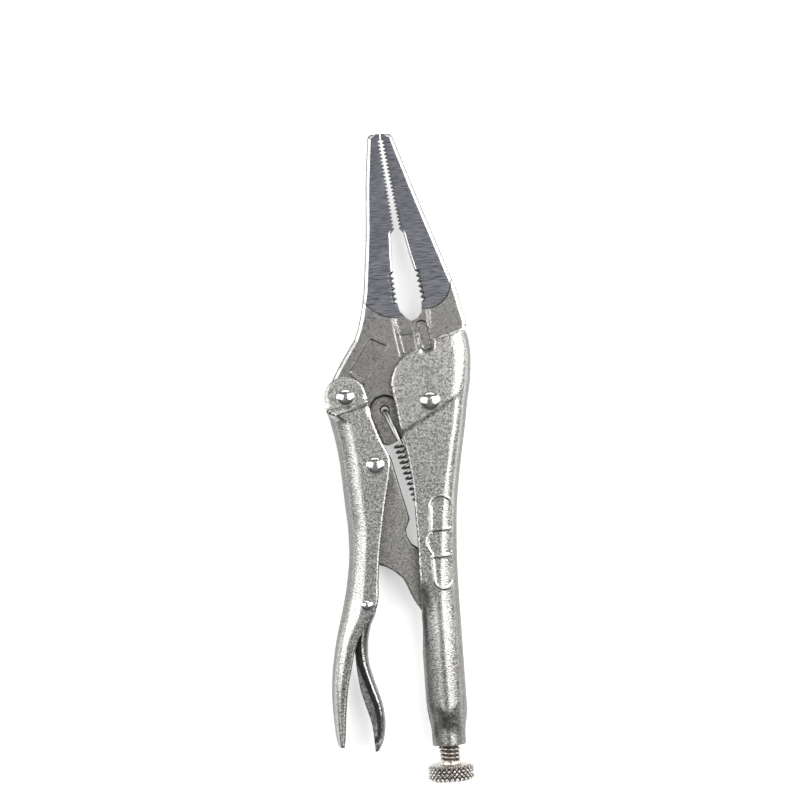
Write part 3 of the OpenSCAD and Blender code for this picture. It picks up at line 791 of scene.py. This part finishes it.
def build_fixed_jaw():
    fine = teeth((-4.8, FINE_Y), nose(-8.9, 0.94), 24, -TOOTH_H[0])
    coarse = teeth((1.2, 34.6), (-0.3, 45.8), 6, -TOOTH_H[1])
    tip = [nose(-8.9, 0.94), (-8.95, 93.9), (-8.85, JAW_REACH),
           (-6.3, JAW_REACH), (-5.3, 93.9), (-4.85, 93.2)]
    right = np.vstack([tip[3:], [nose(2.7, 0.27), (13.7, 37.9), (15.2, 30.9), (16.0, 27.6),
                                 (16.3, 26.2), (15.9, 25.0)]])
    base = [(9.1, 23.1), (9.1, 14)]
    socket = arc(MAIN, 14.0, 58, 99, 20)
    left = [(part_x(28.3, 1), 28.3), (-0.5, 29.2), (1.0, 31.1), (1.2, 34.0)]
    bite = np.vstack([left, coarse, [(-0.3, 45.8), (-1.8, 51.6), (-3.4, 59.4)], fine, tip[:3]])
    outline = loop(np.vstack([right, base, socket, bite]), 0.45)
    outer_edge = np.vstack([right, [(15.9, 25.0)]])
    slot = [(0.6, 26.5), (1.7, 19.6)]

    def top_z(p):
        h, ground = jaw_height(p, outer_edge, bite, FIXED_ARC)
        h = h + pocket_relief(signed(p, CUTTER_POCKET)) * (1 - ground)
        return np.minimum(h, JAW_HALF - SLOT_DEPTH * smooth((2.05 - distance(p, slot)) / 0.5))

    def face(centres):
        return jaw_slots(centres, outer_edge, bite, FIXED_ARC)

    slot_line = loop(np.vstack([arc(slot[0], 2, -15, 165, 16), arc(slot[1], 2, 165, 345, 16)]), 0.4)
    slots = [offset_points(slot_line, d) for d in (-0.1, 0.05, 0.2, 0.4, 0.55)]
    tooth, outer, pocket = jaw_edges(outer_edge, bite)
    points = gather(outline, *tooth, *outer, *arc_band(FIXED_ARC, 90), *slots, *pocket,
                    lattice(outline, 0.9, 0.3), gap=0.09, clear=0.03)
    return finish_mesh(relief("fixed_jaw_forging", outline, points, top_z, pick=face), 24)


def worn_highlight(centres, outer_edge, bite):
    """True on the outer chamfer and on the bevel round the pipe grip: worn edges painted lighter as a
    highlight.
    """
    y = centres[:, 1]
    oval = (y > 46) & (y < OVAL_TOP) & (distance(centres, bite) < 0.62)
    outer = distance(centres, outer_edge)
    return ((outer > EDGE_SHADE_W) & (outer < CHAMFER)) | oval


def edge_shade(centres, outer_edge):
    """True on the corner below the outer chamfer, which is painted dark as shade."""
    return distance(centres, outer_edge) <= EDGE_SHADE_W


def ground_slot(centres, cheek_arc):
    """The ground slot on the cheek, the forged one elsewhere."""
    cheek_c, cheek_r = cheek_arc
    to_arc = cheek_r - np.hypot(centres[:, 0] - cheek_c[0], centres[:, 1] - cheek_c[1])
    return np.where((to_arc > -0.08) | (centres[:, 1] > cheek_c[1]), GROUND, FORGED)


def build_movable_jaw():
    fine = teeth((-6.5, FINE_Y), nose(-9.3, 0.94), 24, TOOTH_H[0])
    coarse = teeth((-7.2, 34.6), (-8.0, 45.4), 6, TOOTH_H[1])
    tip = [nose(-9.3, 0.94), (-9.25, 93.9), (-9.35, JAW_REACH),
           (-12.2, JAW_REACH), (-13.2, 93.9), (-13.65, 93.0)]
    left = np.vstack([tip[3:], [nose(-15.3, 0.49), (-16.5, 59.3), (-17.5, 49.6), (-18.7, 39.1),
                                (-20.2, 31.6), (-21.5, 27.0), (-23.1, 23.1), (-25.2, 20.1), (-29.4, 13.7)]])
    boss = arc(JAW, 6.8, 140, 300, 26)
    tail = [(-18.6, -9.5), (-16.9, -12.6), (-15.9, -13.7), (-14.6, -14.4), (-13.4, -14.4), (-8.4, -12.2)]
    hub = arc(MAIN, 5.6, 235, 360, 18)
    lobe = arc(MAIN, 13.6, 62, 104, 20)
    right = [(part_x(28.3, -1), 28.3), (-4.6, 29.6), (-6.5, 31.8), (-7.1, 34.0)]
    bite = np.vstack([right, coarse, [(-8.0, 45.8), (-8.1, 50), (-7.9, 59.2)], fine, tip[:3]])
    outline = loop(np.vstack([left, boss, tail, hub, [(7, 8)], lobe, bite]), 0.45)
    outer_edge = np.vstack([left, boss[:6]])
    hole = arc(HOOK_HOLE, HOOK_R, 0, 360, 28)[:-1]
    pad = loop(np.array(PAD), 0.4)
    low_edge = np.vstack([boss[6:], tail, hub])

    def top_z(p):
        h, ground = jaw_height(p, outer_edge, bite, MOVABLE_ARC)
        h = h + pocket_relief(signed(p, CUTTER_POCKET)) * (1 - ground)
        h = h - WEB_H * smooth((5.45 - distance(p, WEB_LINE)) / 0.7) * (p[:, 1] < 6)
        h = h - SINK_H * smooth((SINK_R - np.hypot(*(p - HOOK_HOLE).T)) / 0.5)
        d = signed(p, pad)
        h = h + FRAME_H * smooth((0.5 - np.abs(d + 0.5)) / 0.28) - 0.08 * smooth((-d - 0.9) / 0.3)
        for a, b in RIDGES:
            h = h + RIDGE_H * smooth((0.48 - distance(p, [a, b])) / 0.4) * (p[:, 1] < 29.7)
        h = h - rounded(distance(p, low_edge), 0.3)
        return np.minimum(h, JAW_HALF + FRAME_H)

    def face(centres):
        # painted shade: the sunk web round the hook takes a darker material
        web = (distance(centres, WEB_LINE) < 5.3) & (centres[:, 1] < 5)
        return np.where(web, SHADED_WEB, jaw_slots(centres, outer_edge, bite, MOVABLE_ARC))

    pads = [offset_points(pad, d) for d in (-0.1, 0.05, 0.2, 0.4, 0.6, 0.8, 0.95, 1.1)]
    ridge_points = [offset_points(np.linspace(a, b, 30), d, closed=False) for a, b in RIDGES
                    for d in (-0.42, -0.25, -0.08, 0.08, 0.25, 0.42)]
    fine_grid = np.array([(x, y) for x in np.arange(-22, -4, 0.3) for y in np.arange(-16, 4.5, 0.3)])
    away = distance(fine_grid, WEB_LINE)
    web_edge = fine_grid[(away > 4.4) & (away < 6.8)]
    low = both_sides(low_edge, 0.5, (0.04, 0.15, 0.3))
    sink = [arc(HOOK_HOLE, r, 0, 360, 28) for r in (1.35, 1.5, 1.65, 1.8, 1.95)]
    tooth, outer, pocket = jaw_edges(outer_edge, bite)
    points = gather(outline, *sink, *tooth, *low, *outer, *arc_band(MOVABLE_ARC, 120), *pads, *pocket,
                    *ridge_points, web_edge, lattice(outline, 0.9, 0.3), gap=0.09, clear=0.03)
    points = points[~inside(points, hole) & (distance(points, hole, closed=True) > 0.12)]
    return finish_mesh(relief("movable_jaw_forging", outline, points, top_z,
                              seams=[np.vstack([hole, hole[:1]])], hole=hole, pick=face), 24)


# ---------- rivets

def build_rivet(name, at, shank_r, head_r, face, top):
    """A shank with a domed head on each side, turned about its own axis."""
    seat, rim = face - 0.35, face + 0.12
    side = [(shank_r, 0), (shank_r, seat), (head_r - 0.12, seat), (head_r, face - 0.1), (head_r, rim)]
    dome = [(head_r * math.cos(a), rim + (top - rim) * math.sin(a))
            for a in np.linspace(0.12, math.pi / 2, 12)]
    half = side + dome[:-1]
    profile = [(r, -z) for r, z in half[::-1]] + half[1:]
    n = 56
    a = around(n)
    verts = [(at[0], at[1], -top)]
    for r, z in profile:
        verts += [(at[0] + r * math.cos(t), at[1] + r * math.sin(t), z) for t in a]
    verts.append((at[0], at[1], top))
    faces = [[0, 1 + (i + 1) % n, 1 + i] for i in range(n)]
    faces += strip(len(profile), n, first=1)
    last = 1 + (len(profile) - 1) * n
    faces += [[last + i, last + (i + 1) % n, len(verts) - 1] for i in range(n)]
    return finish_mesh(new_object(name, verts, faces), 40)


# ---------- spring

SPRING_TOP, SPRING_LOW = np.array((-9.1, -14.2)), np.array((-1.0, -44.2))
HOOK_AT, TAB_AT = tuple(HOOK_HOLE), (1.2, -50.0)
COIL_R, WIRE_R = 2.7, 0.5
COIL_TURNS, PER_TURN = 16, 18


def build_spring():
    along = SPRING_LOW - SPRING_TOP
    d = along / np.linalg.norm(along)
    side = np.array([-d[1], d[0]])
    start = SPRING_TOP + side * 0.2 - d * 0.6
    knots = [(start[0] - 1.1, start[1] + 0.6, COIL_R), (HOOK_AT[0] - 0.35, HOOK_AT[1] - 0.9, COIL_R),
             (HOOK_AT[0] - 0.4, HOOK_AT[1] - 0.2, 1.2), (HOOK_AT[0], HOOK_AT[1] + 0.1, -0.6),
             (HOOK_AT[0] + 0.5, HOOK_AT[1] - 0.1, 1.2), (HOOK_AT[0] + 0.75, HOOK_AT[1] - 0.9, COIL_R)]
    n = COIL_TURNS * PER_TURN
    coil = []
    for i in range(n + 1):
        a = math.radians(90 + 360 * i / PER_TURN)
        c = SPRING_TOP + along * i / n + side * COIL_R * math.cos(a)
        coil.append((*c, COIL_R * math.sin(a)))
    low = [(TAB_AT[0] - 0.2, TAB_AT[1] + 0.8, COIL_R), (*TAB_AT, 1.6), (*TAB_AT, -1.0), (*TAB_AT, -COIL_R)]
    path = np.array(knots + coil + low)
    return finish_mesh(tube_mesh("opening_spring_wire", path, WIRE_R, 10), 60)


# ---------- screw and knob

PITCH = 1.41
THREAD_H = 0.9
KNURL_MARKS, KNURL_H = 28, 0.5


def painted_shade_slots(faces, depth, limit):
    """Slot 1, painted shade, on the faces that lie deeper than the limit."""
    depth = np.array(depth)
    return [int(depth[f].mean() > limit and len(f) == 4) for f in faces]


def build_screw():
    r_out = THREAD_R
    low = KNOB_HIGH[1]
    cols, per_turn = 40, 12
    ys = np.arange(low + 0.9, SCREW_TIP - 2.0, PITCH / per_turn)
    a = around(cols)
    verts, depth = [], []

    def ring(radii, y):
        depth.extend(r_out - radii)
        verts.extend((r * math.cos(t), y, r * math.sin(t)) for r, t in zip(radii, a))

    ring(np.full(cols, 0.02), low - 0.5)
    ring(np.full(cols, r_out - 0.3), low - 0.5)
    ring(np.full(cols, r_out - 0.3), low + 0.55)
    ring(np.full(cols, r_out - 0.55), low + 0.85)
    for y in ys:
        t = ((y / PITCH) - a / (2 * math.pi)) % 1.0
        form = np.clip(1.25 * (1 - np.abs(2 * t - 1)) - 0.12, 0, 1)
        fade = min(1.0, max(0.15, (SCREW_TIP - 1.2 - y) / 3.0))
        ring(r_out - THREAD_H * (1 - form * fade), y)
    ring(np.full(cols, r_out - THREAD_H), SCREW_TIP - 1.0)
    ring(np.full(cols, r_out - THREAD_H - 0.7), SCREW_TIP)
    ring(np.full(cols, 0.02), SCREW_TIP)
    faces = capped_rings(len(verts) // cols, cols)
    # painted shade in the thread's roots
    roots = painted_shade_slots(faces, depth, 0.62 * THREAD_H)
    return finish_mesh(new_object("adjusting_screw_thread", verts, faces, roots), 40)


def build_knob():
    """The knurled knob: a chamfered disc whose rim carries a diamond knurl."""
    y0, y1 = KNOB_LOW[1], KNOB_HIGH[1]
    r_out = (KNOB_HIGH[0] - KNOB_LOW[0]) / 2
    cols = KNURL_MARKS * 12
    a = around(cols)
    wave = 2 * math.pi * r_out / KNURL_MARKS
    rim = np.linspace(y0 + 0.6, y1 - 0.9, 33)
    profile = [(0.02, y0 + 0.25, 0), (r_out - 3.4, y0 + 0.25, 0), (r_out - 2.9, y0, 0),
               (r_out - 1.0, y0, 0), (r_out - 0.8, y0 + 0.06, 0)]
    profile += [(r_out, y, 1) for y in rim]
    profile += [(r_out - 0.75, y1 - 0.35, 0), (r_out - 1.0, y1 - 0.25, 0), (r_out - 2.2, y1, 0),
                (3.4, y1, 0), (0.02, y1, 0)]
    verts, depth = [], []
    for r, y, knurl in profile:
        u, v = a * r_out / wave, (y - y0) / wave
        f = np.abs(((u + v) % 1) - 0.5) * 2
        g = np.abs(((u - v) % 1) - 0.5) * 2
        cut = knurl * KNURL_H * np.clip(2.2 * np.maximum(f, g) - 1.2, 0, 1)
        depth.extend(cut)
        verts += [(q * math.cos(t), y, q * math.sin(t)) for q, t in zip(r - cut, a)]
    faces = capped_rings(len(profile), cols)
    # painted shade in the knurl's grooves
    return finish_mesh(new_object("screw_knob_knurled", verts, faces, painted_shade_slots(faces, depth, 0.2)), 24)


# ---------- materials

TOOL_HEIGHT = 2 * HEAD_TOP * MM


def set_stops(ramp, stops):
    """Gives a colour ramp its stops, each a place and a colour of one or three numbers."""
    while len(ramp.elements) < len(stops):
        ramp.elements.new(0.5)
    for element, (at, colour) in zip(ramp.elements, stops):
        element.position = at
        element.color = (*colour, 1) if len(colour) == 3 else (colour[0],) * 3 + (1,)


class Shader:
    """A principled shader whose colour, roughness and relief come from procedural textures."""

    def __init__(self, name, metallic, roughness):
        self.material = bpy.data.materials.new(name)
        self.material.use_nodes = True
        self.tree = self.material.node_tree
        self.shader = self.tree.nodes["Principled BSDF"]
        self.shader.inputs["Metallic"].default_value = metallic
        self.shader.inputs["Roughness"].default_value = roughness
        self.shader.inputs["Specular Tint"].default_value = (0.8, 0.8, 0.8, 1)
        self.place = self.tree.nodes.new("ShaderNodeTexCoord").outputs["Object"]

    def link(self, a, b):
        self.tree.links.new(a, b)

    def stretch(self, scale):
        node = self.tree.nodes.new("ShaderNodeMapping")
        node.inputs["Scale"].default_value = scale
        self.link(self.place, node.inputs["Vector"])
        return node.outputs["Vector"]

    def noise(self, scale, detail=3.0, rough=0.6, at=None):
        node = self.tree.nodes.new("ShaderNodeTexNoise")
        node.inputs["Scale"].default_value = scale
        node.inputs["Detail"].default_value = detail
        node.inputs["Roughness"].default_value = rough
        self.link(at or self.place, node.inputs["Vector"])
        return node.outputs["Fac"]

    def height(self):
        """Height over the floor, from 0 at the lowest point of the tool to 1 at its highest."""
        node = self.tree.nodes.new("ShaderNodeSeparateXYZ")
        self.link(self.stretch((1, 1, 1 / TOOL_HEIGHT)), node.inputs[0])
        return node.outputs["Z"]

    def ramp(self, fac, *stops):
        node = self.tree.nodes.new("ShaderNodeValToRGB")
        set_stops(node.color_ramp, stops)
        self.link(fac, node.inputs["Fac"])
        return node.outputs["Color"]

    def multiply(self, a, b):
        node = self.tree.nodes.new("ShaderNodeMix")
        node.data_type = "RGBA"
        node.blend_type = "MULTIPLY"
        node.inputs["Factor"].default_value = 1.0
        self.link(a, node.inputs[6])
        self.link(b, node.inputs[7])
        return node.outputs[2]

    def colour(self, source):
        self.link(source, self.shader.inputs["Base Color"])

    def roughness(self, source):
        self.link(source, self.shader.inputs["Roughness"])

    def bump(self, height, distance_m, strength=1.0):
        node = self.tree.nodes.new("ShaderNodeBump")
        node.inputs["Strength"].default_value = strength
        node.inputs["Distance"].default_value = distance_m
        self.link(height, node.inputs["Height"])
        self.link(node.outputs["Normal"], self.shader.inputs["Normal"])


# Range of depths, as a share of the tool's height, over which painted shade darkens the flanks of a handle
FLANK_SHADED, FLANK_UNSHADED = 4.2 / 17.6, 5.5 / 17.6
# Fine scratches run along X, so their pattern is stretched that way
SCRATCH_SCALE = (260, 5200, 260)


def sand_plated(name, light, dark, grain, depth, rough, flank_shade=1.0):
    """Blasted and plated sheet: a pebbly grain with dull pits, and painted shade that darkens the flanks.
    """
    s = Shader(name, 1.0, rough)
    fine = s.noise(grain, 2.5, 0.55)
    mid = tuple((a + b) / 2 for a, b in zip(light, dark))
    pits = s.ramp(fine, (0.4, dark), (0.5, mid), (0.59, light))
    wide = s.ramp(s.noise(90, 4, 0.55), (0.3, (0.84, 0.84, 0.84)), (0.7, (1.0, 1.0, 1.0)))
    # painted shade: the colour drops to flank_shade on the flanks, near the middle of the thickness
    sides = s.ramp(s.height(), (0.5 - FLANK_UNSHADED, (1.0,)), (0.5 - FLANK_SHADED, (flank_shade,)),
                   (0.5 + FLANK_SHADED, (flank_shade,)), (0.5 + FLANK_UNSHADED, (1.0,)))
    s.colour(s.multiply(s.multiply(pits, wide), sides))
    s.roughness(s.ramp(s.noise(grain * 0.6, 2), (0.3, (rough - 0.08,)), (0.7, (rough + 0.12,))))
    s.bump(fine, depth)
    return s.material


def ground_steel(name, light, dark):
    """Ground steel with fine scratches across the nose."""
    s = Shader(name, 1.0, 0.38)
    lines = s.noise(1.0, 5, 0.65, at=s.stretch(SCRATCH_SCALE))
    fine = s.ramp(lines, (0.34, dark), (0.52, light), (0.66, tuple(min(1, c * 1.7) for c in light)))
    wide = s.ramp(s.noise(70, 4, 0.6), (0.3, (0.8, 0.8, 0.82)), (0.7, (1.0, 1.0, 1.0)))
    s.colour(s.multiply(fine, wide))
    s.roughness(s.ramp(lines, (0.3, (0.5,)), (0.7, (0.3,))))
    s.bump(lines, 0.00003, 0.8)
    return s.material


def polished(name, light, dark, rough):
    """Bright rolled or turned steel with faint scratches and tarnish."""
    s = Shader(name, 1.0, rough)
    fine = s.noise(1400, 2, 0.5)
    s.colour(s.ramp(s.noise(160, 3, 0.5), (0.32, dark), (0.6, light)))
    s.roughness(s.ramp(fine, (0.3, (max(0.02, rough - 0.06),)), (0.75, (rough + 0.16,))))
    s.bump(fine, 0.000002, 0.5)
    return s.material


# Depths of the grain, in metres
FINE_GRAIN, SAND_GRAIN, ROUGH_GRAIN = 0.00005, 0.00006, 0.00008

sheet_mat = sand_plated("plated_sheet", (0.545, 0.536, 0.514), (0.3, 0.296, 0.282),
                        1900, SAND_GRAIN, 0.25, 0.55)
link_mat = sand_plated("plated_link", (0.295, 0.288, 0.27), (0.15, 0.147, 0.137), 1900, ROUGH_GRAIN, 0.4)
lever_mat = sand_plated("plated_lever", (0.64, 0.63, 0.612), (0.36, 0.355, 0.345),
                        1900, SAND_GRAIN, 0.24, 0.6)
# darker steel that paints shade in the release lever's dish
lever_dish_shade_mat = sand_plated("lever_dish_painted_shade", (0.29, 0.29, 0.288), (0.14, 0.14, 0.14), 1500, FINE_GRAIN, 0.36)
# darker steel that paints shade in the sunk web of the movable jaw
web_shade_mat = sand_plated("jaw_web_painted_shade", (0.25, 0.24, 0.225), (0.11, 0.107, 0.1), 1800, FINE_GRAIN, 0.42)
jaw_mat = sand_plated("forged_jaw", (0.265, 0.259, 0.247), (0.15, 0.146, 0.139), 2300, SAND_GRAIN, 0.3)
cheek_mat = ground_steel("ground_cheek", (0.138, 0.142, 0.156), (0.024, 0.025, 0.029))
# lighter steel for worn edges, also painting their highlight
worn_highlight_mat = polished("worn_edge_painted_highlight", (0.62, 0.62, 0.615), (0.45, 0.45, 0.445), 0.26)
rivet_mat = polished("rivet_steel", (0.85, 0.84, 0.82), (0.6, 0.59, 0.57), 0.1)
spring_mat = polished("spring_wire", (0.6, 0.6, 0.6), (0.35, 0.35, 0.35), 0.28)
screw_mat = polished("screw_steel", (0.78, 0.735, 0.69), (0.56, 0.525, 0.485), 0.2)
# dark steel that paints shade in thread roots, knurl grooves and the jaws' outer corners
painted_shade_mat = polished("painted_shade_steel", (0.2, 0.18, 0.165), (0.08, 0.074, 0.07), 0.34)


# ---------- pieces on their bodies

def settle(obj, body, materials, *nodes):
    for m in materials:
        obj.data.materials.append(m)
    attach(obj, body)
    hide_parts(*nodes)
    return obj


# in the order of the jaws' slots
# the jaws' last slot paints shade on the outer corner with the dark thread-root steel
jaw_mats = [jaw_mat, cheek_mat, worn_highlight_mat, painted_shade_mat]
settle(build_fixed_handle(), "handle", [sheet_mat], "fixed_handle")
settle(build_fixed_jaw(), "handle", jaw_mats, "fixed_jaw")
settle(build_movable_jaw(), "movable_jaw", jaw_mats + [web_shade_mat], "movable_jaw")
settle(build_lower_handle(), "lower_handle", [sheet_mat], "lower_handle")
settle(build_toggle_link(), "toggle_link", [link_mat], "toggle_link")
settle(build_release_lever(), "release_lever", [lever_mat, lever_dish_shade_mat], "release_lever")
# rivets: name, place, shank and head radius, face they sit on, body and node
RIVETS = [("main_rivet", MAIN, 2.6, 3.55, BOX_HALF, "handle", "main_pivot_rivet"),
          ("jaw_rivet", JAW, 2.3, 3.2, HALF_W, "movable_jaw", "jaw_handle_rivet"),
          ("link_pin", LINK, 2.3, 3.3, HALF_W, "lower_handle", "link_rivet"),
          ("lever_pin", LEVER, 1.5, 2.3, HALF_W, "lower_handle", "lever_rivet")]
for name, at, shank_r, head_r, face, body, node in RIVETS:
    settle(build_rivet(name, at, shank_r, head_r, face, face + HEAD_H), body, [rivet_mat], node)
settle(build_screw(), "screw", [screw_mat, painted_shade_mat], "adjusting_screw")
settle(build_knob(), "knob", [screw_mat, painted_shade_mat], "screw_knob")

spring = build_spring()
spring.data.materials.append(spring_mat)
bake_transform(spring)
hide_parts("opening_spring")

tab = frame["nodes"]["spring_anchor_tab"]
tab.data.materials.clear()
tab.data.materials.append(sheet_mat)


# ---------- stage, light and camera

FLOOR_HALF = 3.0
PHOTO_HEIGHT = 0.933
PHOTO_TURN = -4.09


def floor():
    """A pale floor that glows a little, for the photograph's white ground."""
    mesh = bpy.data.meshes.new("floor")
    s = FLOOR_HALF
    mesh.from_pydata([(-s, -s, 0), (s, -s, 0), (s, s, 0), (-s, s, 0)], [], [(0, 1, 2, 3)])
    mat = bpy.data.materials.new("floor")
    mat.use_nodes = True
    inputs = mat.node_tree.nodes["Principled BSDF"].inputs
    inputs["Base Color"].default_value = (0.86, 0.86, 0.86, 1)
    inputs["Roughness"].default_value = 0.9
    inputs["Emission Color"].default_value = (1, 1, 1, 1)
    inputs["Emission Strength"].default_value = 0.46
    mesh.materials.append(mat)
    add("floor", mesh)


def area(name, at, size_x, size_y, watts, target=(0, 0, 0.01)):
    data = bpy.data.lights.new(name, "AREA")
    data.shape = "RECTANGLE"
    data.size, data.size_y, data.energy = size_x, size_y, watts
    obj = add(name, data)
    obj.location = at
    obj.rotation_euler = (Vector(target) - Vector(at)).to_track_quat("-Z", "Y").to_euler()


floor()
area("left", (-0.8, 0.2, 0.82), 0.5, 1.5, 10)
area("right", (0.8, 0.2, 0.82), 0.6, 1.5, 19)
area("over", (0.05, 1.0, 1.05), 1.2, 0.4, 4)

# The studio's grey by height, from the horizon at 0 to straight up at 1
world = bpy.data.worlds.new("studio")
world.use_nodes = True
tree = world.node_tree
where = tree.nodes.new("ShaderNodeTexCoord")
split = tree.nodes.new("ShaderNodeSeparateXYZ")
sky = tree.nodes.new("ShaderNodeValToRGB")
tree.links.new(where.outputs["Generated"], split.inputs[0])
tree.links.new(split.outputs["Z"], sky.inputs["Fac"])
stops = [(0.0, 0.42), (0.25, 0.34), (0.5, 0.18), (0.72, 0.07), (0.85, 0.1), (0.95, 0.22)]
set_stops(sky.color_ramp, [(at, (level, level, level * 1.02)) for at, level in stops])
tree.links.new(sky.outputs["Color"], tree.nodes["Background"].inputs["Color"])
tree.nodes["Background"].inputs["Strength"].default_value = 1.0
bpy.context.scene.world = world
bpy.context.scene.view_settings.view_transform = "Standard"

camera_data = bpy.data.cameras.new("camera")
camera_data.lens, camera_data.sensor_width = 120, 36
camera = add("camera", camera_data)
camera.location = (0.00263, 0.02029, HEAD_TOP * MM + PHOTO_HEIGHT)
camera.rotation_euler = (0, 0, math.radians(PHOTO_TURN))
bpy.context.scene.camera = camera
